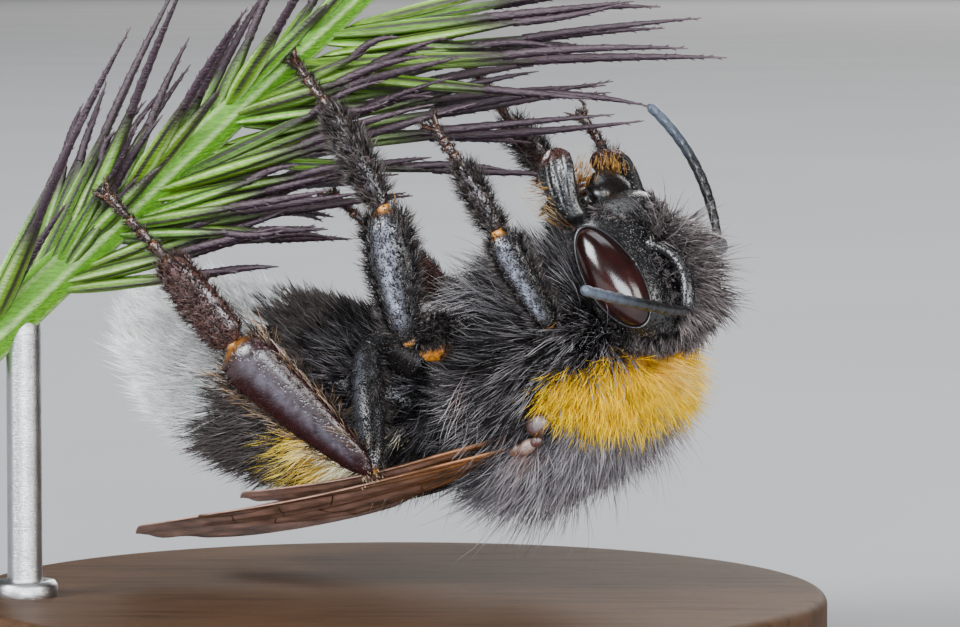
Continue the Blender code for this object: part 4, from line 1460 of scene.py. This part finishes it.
def add_pollen():
    """A lump of orange pollen stuck in the hair by the hip of the left middle leg."""
    points, faces = loft(ball_rings(40, 30))
    lumps = sum(np.sin(points @ random.normal(0, 7.0, 3) + phase) for phase in range(5))
    points = points * (POLLEN_RADIUS + 0.012 * lumps)[:, None] + np.array(POLLEN_AT)
    add_piece("pollen_lump", [(BEE.out(points), faces, (0.75, 0.27, 0.012))], POLLEN, "coat")


# ---------------------------------------------------------------- wings
def wing_frame(sign):
    """Where a wing pair is: x to the tip, -y to the trailing edge, and which z is its top."""
    root, towards = np.array(WING_ROOT) * mirror(sign), np.array(WING_TOWARDS) * mirror(sign)
    along = unit(towards - root)
    inward = np.array([0, -sign, 0.0])
    inward = unit(inward - along * (inward @ along))
    upward = np.cross(along, inward) * sign
    tilt = math.radians(WING_TILT)
    chord = inward * math.cos(tilt) + upward * math.sin(tilt)
    normal = np.cross(along, -chord)
    return BEE.inner(root, np.stack([along, -chord, normal], 1)), math.copysign(1, normal @ upward)


def wing_edges(share):
    """Leading and trailing edges of a wing, as shares of its chord, at shares of its length."""
    lead = np.interp(share, (0, 0.1, 0.45, 0.75, 0.87, 0.94, 0.98, 1.0),
                     (0.03, 0.03, 0.03, 0.0, -0.07, -0.16, -0.28, -0.42))
    trail = -np.interp(share, (0, 0.1, 0.25, 0.4, 0.66, 0.88, 0.95, 0.985, 1.0),
                       (0.1, 0.24, 0.52, 0.8, 1.0, 0.9, 0.76, 0.62, 0.46))
    return lead, trail


def wing_height(x, y, top, drop):
    """How high a creased, bowed wing lies, at shares of its length and chord."""
    fold = 0.03 * np.sin(y * 21.0 + x * 7.0) * smooth(0.05, 0.3, x)
    bow = 0.28 * top * np.sin(np.minimum(x, 1) * math.pi)
    return fold + 0.1 * np.sin(x * 3.0) * (y + 0.4) - top * drop + bow


def membrane_shape(place, top, long, chord, shift, drop):
    """The thin skin of one wing, closed round its edges."""
    share = np.linspace(0.004, 0.998, 90)[:, None]
    lead, trail = wing_edges(share)
    y = lead + (trail - lead) * np.linspace(0, 1, 16)[None]
    x = share + 0 * y
    height = wing_height(x, y, top, drop)
    upper, lower = (np.stack([x * long + shift, y * chord, height + thin], -1)
                    for thin in (MEMBRANE_HALF, -MEMBRANE_HALF))
    points, faces = loft(np.concatenate([upper, lower[:, ::-1]], 1)[:, ::-1])
    near = np.clip((points[:, 0] - shift) / long, 0, 1)
    tint = mix((0.30, 0.13, 0.05), (0.36, 0.20, 0.15), smooth(0.0, 0.5, near))
    return place.out(points), faces, tint


def vein_shapes(place, top, veins, long, chord, shift, drop):
    """Raised veins that follow the wing's creases, thicker where they start at its root."""
    shapes = []
    for vein in veins:
        vein = np.array(vein)
        fine = np.linspace(0, 1, 8 * len(vein))
        x, y = profile(vein[:, 0], fine), profile(vein[:, 1], fine)
        path = np.stack([x * long + shift, y * chord, wing_height(x, y, top, drop)], 1)
        thick = (0.055 if vein[0, 0] < 0.01 else 0.034) * (1 - 0.5 * x)
        tube = sweep(place.out(path), thick, sides=7, face=place.way((0, 0, 1)))
        near = smooth(0.0, 0.5, each_ring(x, 7))
        shapes.append((*tube, mix((0.22, 0.075, 0.012), (0.07, 0.03, 0.014), near)))
    return shapes


# Veins as shares of the wing's length and chord, from the root outward.
VEINS = {"forewing": (
    ((0.0, 0.0), (0.25, 0.01), (0.5, 0.01), (0.62, 0.0), (0.8, -0.03)),
    ((0.0, -0.03), (0.25, -0.08), (0.48, -0.1), (0.6, -0.03)),
    ((0.0, -0.06), (0.2, -0.25), (0.42, -0.4), (0.55, -0.46)),
    ((0.0, -0.08), (0.18, -0.36), (0.4, -0.7), (0.5, -0.78)),
    ((0.6, -0.04), (0.68, -0.2), (0.8, -0.22), (0.88, -0.1)),
    ((0.48, -0.1), (0.5, -0.26), (0.52, -0.44)),
    ((0.5, -0.26), (0.62, -0.3), (0.72, -0.32), (0.82, -0.34)),
    ((0.55, -0.46), (0.66, -0.5), (0.76, -0.52), (0.84, -0.5)),
    ((0.62, -0.18), (0.63, -0.34), (0.64, -0.5)),
    ((0.74, -0.22), (0.75, -0.36), (0.76, -0.52)),
    ((0.25, -0.3), (0.3, -0.42), (0.3, -0.54)),
    ((0.5, -0.78), (0.52, -0.62), (0.55, -0.46)),
    ((0.66, -0.5), (0.68, -0.62), (0.64, -0.76), (0.5, -0.78)),
), "hindwing": (
    ((0.0, 0.0), (0.25, 0.0), (0.5, -0.02), (0.75, -0.08)),
    ((0.0, -0.06), (0.2, -0.3), (0.42, -0.4), (0.62, -0.42)),
    ((0.42, -0.4), (0.45, -0.2), (0.48, -0.04)),
    ((0.2, -0.3), (0.32, -0.56), (0.5, -0.72)),
)}


def add_wings():
    """Four thin creased membranes, each with its own raised veins."""
    for side, sign in SIDES.items():
        place, top = wing_frame(sign)
        for kind, sizes in WINGS.items():
            blade = membrane_shape(place, top, *sizes)
            add_piece(f"{kind}_membrane_{side}", [blade], MEMBRANE, "wing", f"{kind}_{side}")
            veins = vein_shapes(place, top, VEINS[kind], *sizes)
            add_piece(f"{kind}_veins_{side}", veins, VEIN, "wing")


# Small plates at the wing root: where, half lengths, colour.
SCLERITES = (
    ((-0.72, 2.4, 1.52), (0.27, 0.12, 0.16), (0.20, 0.13, 0.10)),
    ((-0.42, 2.48, 1.56), (0.16, 0.1, 0.12), (0.07, 0.02, 0.012)),
    ((-1.0, 2.36, 1.42), (0.2, 0.1, 0.12), (0.10, 0.04, 0.02)),
)


def add_tegulae():
    """The small domed plates over the wing roots, red-brown round a pale painted highlight in the
    middle.
    """
    for side, sign in SIDES.items():
        local = ball_rings(32, 22) * np.array(TEGULA_HALF) * np.array([0.85, 0.75, 0.85])
        points, faces = loft(local + np.array(TEGULA_AT) * mirror(sign))
        out = np.abs(points[:, 1] - TEGULA_AT[1] * sign) / TEGULA_HALF[1]
        # Painted highlight: pale grey at the middle of the dome's outer face, and of its hidden
        # inner face.
        tint = mix((0.05, 0.010, 0.006), (0.16, 0.14, 0.15), smooth(0.5, 0.9, out))
        shapes = [(BEE.out(points), faces, tint)]
        for at, half, colour in SCLERITES:
            points, faces = loft(ball_rings(24, 16) * np.array(half) + np.array(at) * mirror(sign))
            shapes.append((BEE.out(points), faces, colour))
        add_piece("wing_cap_" + side, shapes, CAP, "shell", "tegula_" + side)


# ---------------------------------------------------------------- grass
HUSK_GREEN = np.array((0.085, 0.25, 0.004))
HUSK_PALE = (0.46, 0.60, 0.26)
AWN_PURPLE = (0.020, 0.006, 0.014)
AWN_PALE = (0.13, 0.085, 0.095)


# Husks of a spikelet: sideways, upward, start (mm), husk and whole as shares, width (mm).
FLORETS = (
    (0.0, 0.0, 0.0, 0.60, 1.0, 0.52),
    (0.52, 0.1, 0.3, 0.54, 0.92, 0.48),
    (-0.5, 0.3, 0.6, 0.52, 0.86, 0.46),
    (0.2, 0.65, 0.9, 0.50, 0.76, 0.44),
    (-0.3, -0.5, 0.5, 0.56, 0.82, 0.46),
    (0.35, -0.45, 0.2, 0.50, 0.70, 0.44),
    (-0.15, 0.4, 1.4, 0.46, 0.94, 0.42),
)


HUSK_RINGS, HUSK_SIDES = 20, 24
AWN_RINGS, AWN_SIDES = 24, 7
AWN_AT = 0.88  # where on its husk a bristle starts, as a share of the husk
BARBS = 8.0  # on each millimetre of a bristle


def thinning(share):
    """How thick a bristle still is at a share of its length."""
    return 1 - 0.9 * share ** 2.2


def leaning(climb, swing):
    """The way up and along the stalk's side at a climb and a swing in degrees."""
    climb, swing = math.radians(climb), math.radians(swing)
    return np.array([math.cos(climb) * math.cos(swing), -math.sin(swing),
                     math.sin(climb) * math.cos(swing)])


def beside(aim):
    """The ways to the side of aim and over it."""
    side = unit(np.cross(aim, (0, 0, 1.0)))
    return side, np.cross(side, aim)


def add_stalk(place, long):
    """The ribbed stalk, pale where it is cut."""
    rings, sides = 60, 28
    share, angle = limb_grid(rings, sides)
    radius = profile(STALK_RADII, share) * (1 + 0.06 * np.cos(angle * STALK_RIBS))
    points, faces = loft(stacked(np.cos(angle) * radius, np.sin(angle) * radius, share * long))
    stripe = np.cos(each_side(angle[0], rings) * STALK_RIBS)
    tint = mix(HUSK_GREEN, HUSK_PALE, np.maximum(stripe, 0) * 0.5)
    tint[-2:] = (0.35, 0.36, 0.2)
    add_piece("grass_stalk", [(place.out(points), faces, tint)], GRASS, "grass", "perch_stalk")


def husk_shape(start, way, up, long, wide):
    """A boat-shaped husk with raised ribs and pale margins."""
    place = frame_along(WORLD, start, start + way, up)
    share, angle = limb_grid(HUSK_RINGS, HUSK_SIDES)
    half = profile((0.35, 0.85, 1.0, 0.9, 0.62, 0.3), share) * wide / 2
    half = half * round_ends(share, 0.5, 0.05)
    ribs = 1 + 0.07 * np.cos(angle * 7.0)
    x = np.cos(angle) * half * ribs
    y = np.sin(angle) * half * 0.62 * ribs
    points, faces = loft(stacked(x, y, share * long))
    along = each_ring(share[:, 0], HUSK_SIDES)
    stripe = np.cos(each_side(angle[0], HUSK_RINGS) * 3.0 + random.random() * TAU)
    fresh = HUSK_GREEN * (0.6 + 0.7 * random.random()) + np.array([0.05, 0.02, 0]) * random.random()
    tint = mix(fresh, HUSK_PALE, np.maximum(-stripe, 0) ** 5 * 0.9)
    banded = smooth(0.35, 0.75, stripe) * smooth(0.02, 0.3, along) * 0.9
    tint = mix(tint, AWN_PURPLE, np.clip(banded + smooth(0.5, 0.9, along), 0, 0.95))
    return place.out(points), faces, tint


def awn_shape(start, way, long, thick, bend):
    """A stiff tapering bristle with rows of tiny barbs that lean to its tip."""
    end = start + way * long
    path = parabola(start, (start + end) / 2 + bend, end, AWN_RINGS)
    share = np.linspace(0, 1, AWN_RINGS)
    wide = thick * thinning(share) * (1 + 0.1 * np.sin(share * 60))
    ring = each_ring(share, AWN_SIDES)
    edge = each_side(np.arange(AWN_SIDES) % 3 == 0, AWN_RINGS)
    tint = mix(AWN_PURPLE, AWN_PALE, np.clip(0.35 * edge + 0.5 * smooth(0.85, 1.0, ring), 0, 1))
    shapes = [(*sweep(path, wide, sides=AWN_SIDES), tint)]
    side = unit(np.cross(way, (0.2, 0.5, 0.8)))
    other = np.cross(way, side)
    for count in range(int(long * BARBS)):
        at = (count + random.random()) / (long * BARBS)
        turn = (count % 3) * TAU / 3 + random.normal(0, 0.3)
        out = side * math.cos(turn) + other * math.sin(turn)
        middle = path[min(int(at * (AWN_RINGS - 1)), AWN_RINGS - 2)]
        spot = middle + out * thick * thinning(at) * 0.8
        barb = np.stack([spot, spot + out * 0.01 + way * 0.05, spot + way * 0.12 + out * 0.05])
        points, faces = sweep(barb, (0.024, 0.019, 0.004), sides=3, face=side)
        shapes.append((points, faces, mix(AWN_PURPLE, AWN_PALE, 0.6)))
    return shapes


# Husks that hug the stalk: station, climb, swing (degrees), length and whether it has a bristle.
STALK_HUSKS = (
    (0.2, 62, 16, 8.6, True), (0.7, 55, -34, 8.4, True), (0.9, 62, 46, 8.2, True),
    (2.0, 64, -8, 8.0, True), (2.9, 58, -44, 7.4, True), (3.6, 66, 24, 7.2, True),
    (5.0, 56, 34, 6.6, True), (6.6, 62, -40, 5.6, True), (8.4, 56, 36, 5.0, True),
    (10.2, 44, -46, 3.6, False), (4.0, 30, -60, 5.0, False), (6.0, 34, -64, 5.0, False),
    (8.0, 30, -60, 4.6, False),
    (0.6, 56, 24, 4.2, True), (2.6, 50, -22, 4.0, False), (2.8, 62, 10, 4.6, True),
    (3.6, 44, 30, 4.0, False), (4.6, 66, -14, 4.6, True), (5.4, 50, 22, 4.2, False),
    (6.2, 60, 26, 4.4, True), (7.0, 48, -20, 4.2, False), (7.8, 64, 6, 4.2, True),
    (8.8, 46, 24, 3.8, False), (9.6, 56, -12, 3.6, True), (10.6, 48, 16, 2.8, False),
)


def add_stalk_husks(start, way):
    """Husks and bristles close to the stalk, that fill the head of the grass."""
    shapes = []
    for station, climb, swing, length, bristle in STALK_HUSKS:
        aim = leaning(climb, swing)
        over = beside(aim)[1]
        root = start + way * station + np.array([-0.1, 0.3 * aim[1], 0.1])
        husk_long = length * (0.6 if bristle else 0.85)
        shapes.append(husk_shape(root, aim, over, husk_long, 0.5))
        if bristle:
            tip = root + aim * husk_long * AWN_AT
            shapes += awn_shape(tip, aim, length * 0.5, 0.105, over * 0.05)
    add_piece("grass_stalk_husks", shapes, GRASS, "grass")


def add_grass():
    """The stalk, and on it each spikelet as husks that end in rough bristles."""
    start, end = (np.array(p) for p in STALK_ENDS)
    way = unit(end - start)
    add_stalk(frame_along(WORLD, start, end, (0, -1, 0)), distance(start, end))
    add_stalk_husks(start, way)
    for number, (station, climb, swing, length) in enumerate(SPIKELETS, 1):
        aim = leaning(climb, swing)
        root = start + way * station
        if station < ROD_STATION:
            tip = root + aim * length
            root = start + way * (ROD_STATION + ROD_CLEAR)
            aim, length = unit(tip - root), distance(root, tip)
        side, over = beside(aim)
        shapes = []
        for sideways, upward, start_at, husk_share, reach_share, wide in FLORETS:
            out = side * sideways + over * upward
            lean = unit(aim + out * 0.24)
            husk_long = length * husk_share
            base = root + aim * start_at + out * 0.3
            shapes.append(husk_shape(base, lean, over, husk_long, wide))
            reach = (length - start_at) * reach_share - husk_long * AWN_AT
            bend = side * random.normal(0, 0.08) + over * random.normal(0.03, 0.06)
            shapes += awn_shape(base + lean * husk_long * AWN_AT, lean, reach, wide * 0.22, bend)
        add_piece(f"grass_spikelet_{number}", shapes, GRASS, "grass", f"perch_spikelet_{number}")


# ---------------------------------------------------------------- stand, floor, light, camera
def turned(outline, at):
    """A shape turned on a lathe: (radius, height) along its outline, foot first."""
    angle = turns(STAND_SIDES)
    rings = [stacked(np.cos(angle) * radius, np.sin(angle) * radius, height)
             for radius, height in outline]
    return loft(np.array(rings) + np.array(at))


def add_stand():
    """A turned wooden base with a rounded edge, and a brushed steel rod up to the stalk."""
    foot = [(0.5, 0.0), (BASE_RADIUS - BASE_FOOT, 0.0), (BASE_RADIUS, BASE_FOOT)]
    edge = [(BASE_RADIUS - BASE_EDGE * (1 - math.cos(a)), BASE_TALL - BASE_EDGE * (1 - math.sin(a)))
            for a in np.linspace(0, math.pi / 2, 9)]
    top = [(radius, BASE_TALL) for radius in (9.0, 6.0, 3.0, 0.5)]
    points, faces = turned(foot + edge + top, (0, 0, 0))
    base = add_mesh("stand_wood_base", points, faces, wood_look())
    finish_piece(base, "stand_wood", "stand_base")
    start, end = (np.array(p) for p in STALK_ENDS)
    x, y, height = start + unit(end - start) * ROD_STATION
    rod = [(ROD_RADIUS, h) for h in np.linspace(BASE_TALL - ROD_SUNK, height, 12)]
    collar = [(radius, BASE_TALL + rise) for radius, rise in ROD_COLLAR]
    points, faces, _ = join([(*turned(outline, (x, y, 0)), BLACK) for outline in (rod, collar)])
    rod = add_mesh("stand_steel_rod", points, faces, steel_look())
    finish_piece(rod, "stand_steel", "stand_rod")


def add_floor():
    """The table top, a hair's breadth under the stand."""
    corners = np.array([(-1, -1, 0), (1, -1, 0), (1, 1, 0), (-1, 1, 0)]) * FLOOR_HALF
    faces = np.array([(0, 1, 2), (0, 2, 3)])
    floor = add_mesh("floor", corners - np.array([0, 0, FLOOR_DROP]), faces, floor_look(), flat=True)


FLOOR_HALF = 3000.0
FLOOR_DROP = 0.02

VIEW_AT = np.array((2.0, 0.0, 8.4))
VIEW_DISTANCE = 120.0
VIEW_HEIGHT = math.radians(4.0)
VIEW_WIDTH = 22.08
SENSOR = 36.0
CLIP = (0.001, 20)  # nearest and farthest that the camera sees, in metres


def aimed(made, spot, target):
    """Puts a camera or lamp at spot, in millimetres, looking at target."""
    made.location = spot * MM
    made.rotation_euler = Vector(target - spot).to_track_quat("-Z", "Y").to_euler()
    bpy.context.scene.collection.objects.link(made)


def add_camera():
    """A long lens from the bee's left side, a little above it."""
    lens = bpy.data.cameras.new("camera")
    lens.sensor_width = SENSOR
    lens.lens = SENSOR * VIEW_DISTANCE / VIEW_WIDTH
    lens.clip_start, lens.clip_end = CLIP
    camera = bpy.data.objects.new("camera", lens)
    back = np.array([0, -math.cos(VIEW_HEIGHT), math.sin(VIEW_HEIGHT)])
    aimed(camera, VIEW_AT + back * VIEW_DISTANCE, VIEW_AT)
    bpy.context.scene.camera = camera


SKY = (0.8, 0.82, 0.85)
SKY_STRENGTH = 0.09
# Soft lamps: where each stands (millimetres), its width and height, power and colour.
LAMPS = {
    "key": ((-600, -400, 420), 400, 400, 13.0, (0.94, 0.97, 1.0)),
    "front": ((40, -820, 110), 520, 430, 14.0, (0.86, 0.93, 1.0)),
    "fill": ((640, -560, 240), 420, 420, 5.5, (1.0, 0.97, 0.93)),
    "rim": ((420, 1500, 520), 900, 600, 9.0, (1.0, 0.99, 0.97)),
    "top": ((60, 60, 900), 600, 600, 4.5, (0.94, 0.97, 1.0)),
}


def add_lights():
    """Soft lamps, and a faint even light from all round."""
    world = bpy.data.worlds.new("studio")
    world.use_nodes = True
    world.node_tree.nodes["Background"].inputs["Color"].default_value = (*SKY, 1)
    world.node_tree.nodes["Background"].inputs["Strength"].default_value = SKY_STRENGTH
    bpy.context.scene.world = world
    for name, (spot, wide, high, power, colour) in LAMPS.items():
        lamp = bpy.data.lights.new(name, "AREA")
        lamp.shape = "RECTANGLE"
        lamp.size = wide * MM
        lamp.size_y = high * MM
        lamp.energy = power
        lamp.color = colour
        aimed(bpy.data.objects.new(name, lamp), np.array(spot, float), VIEW_AT)


# ---------------------------------------------------------------- the whole
def main():
    add_camera()
    add_lights()
    add_floor()
    add_stand()
    shapes = bare_shapes()
    add_skin(shapes)
    add_thorax_coat(shapes)
    add_abdomen_coat(shapes)
    add_head_coat(shapes)
    add_eyes()
    add_ocelli()
    add_mandibles()
    add_mouth()
    add_feelers()
    surfaces = add_legs()
    add_leg_hair(surfaces)
    add_bristles(surfaces)
    add_pollen()
    add_wings()
    add_tegulae()
    add_grass()


main()
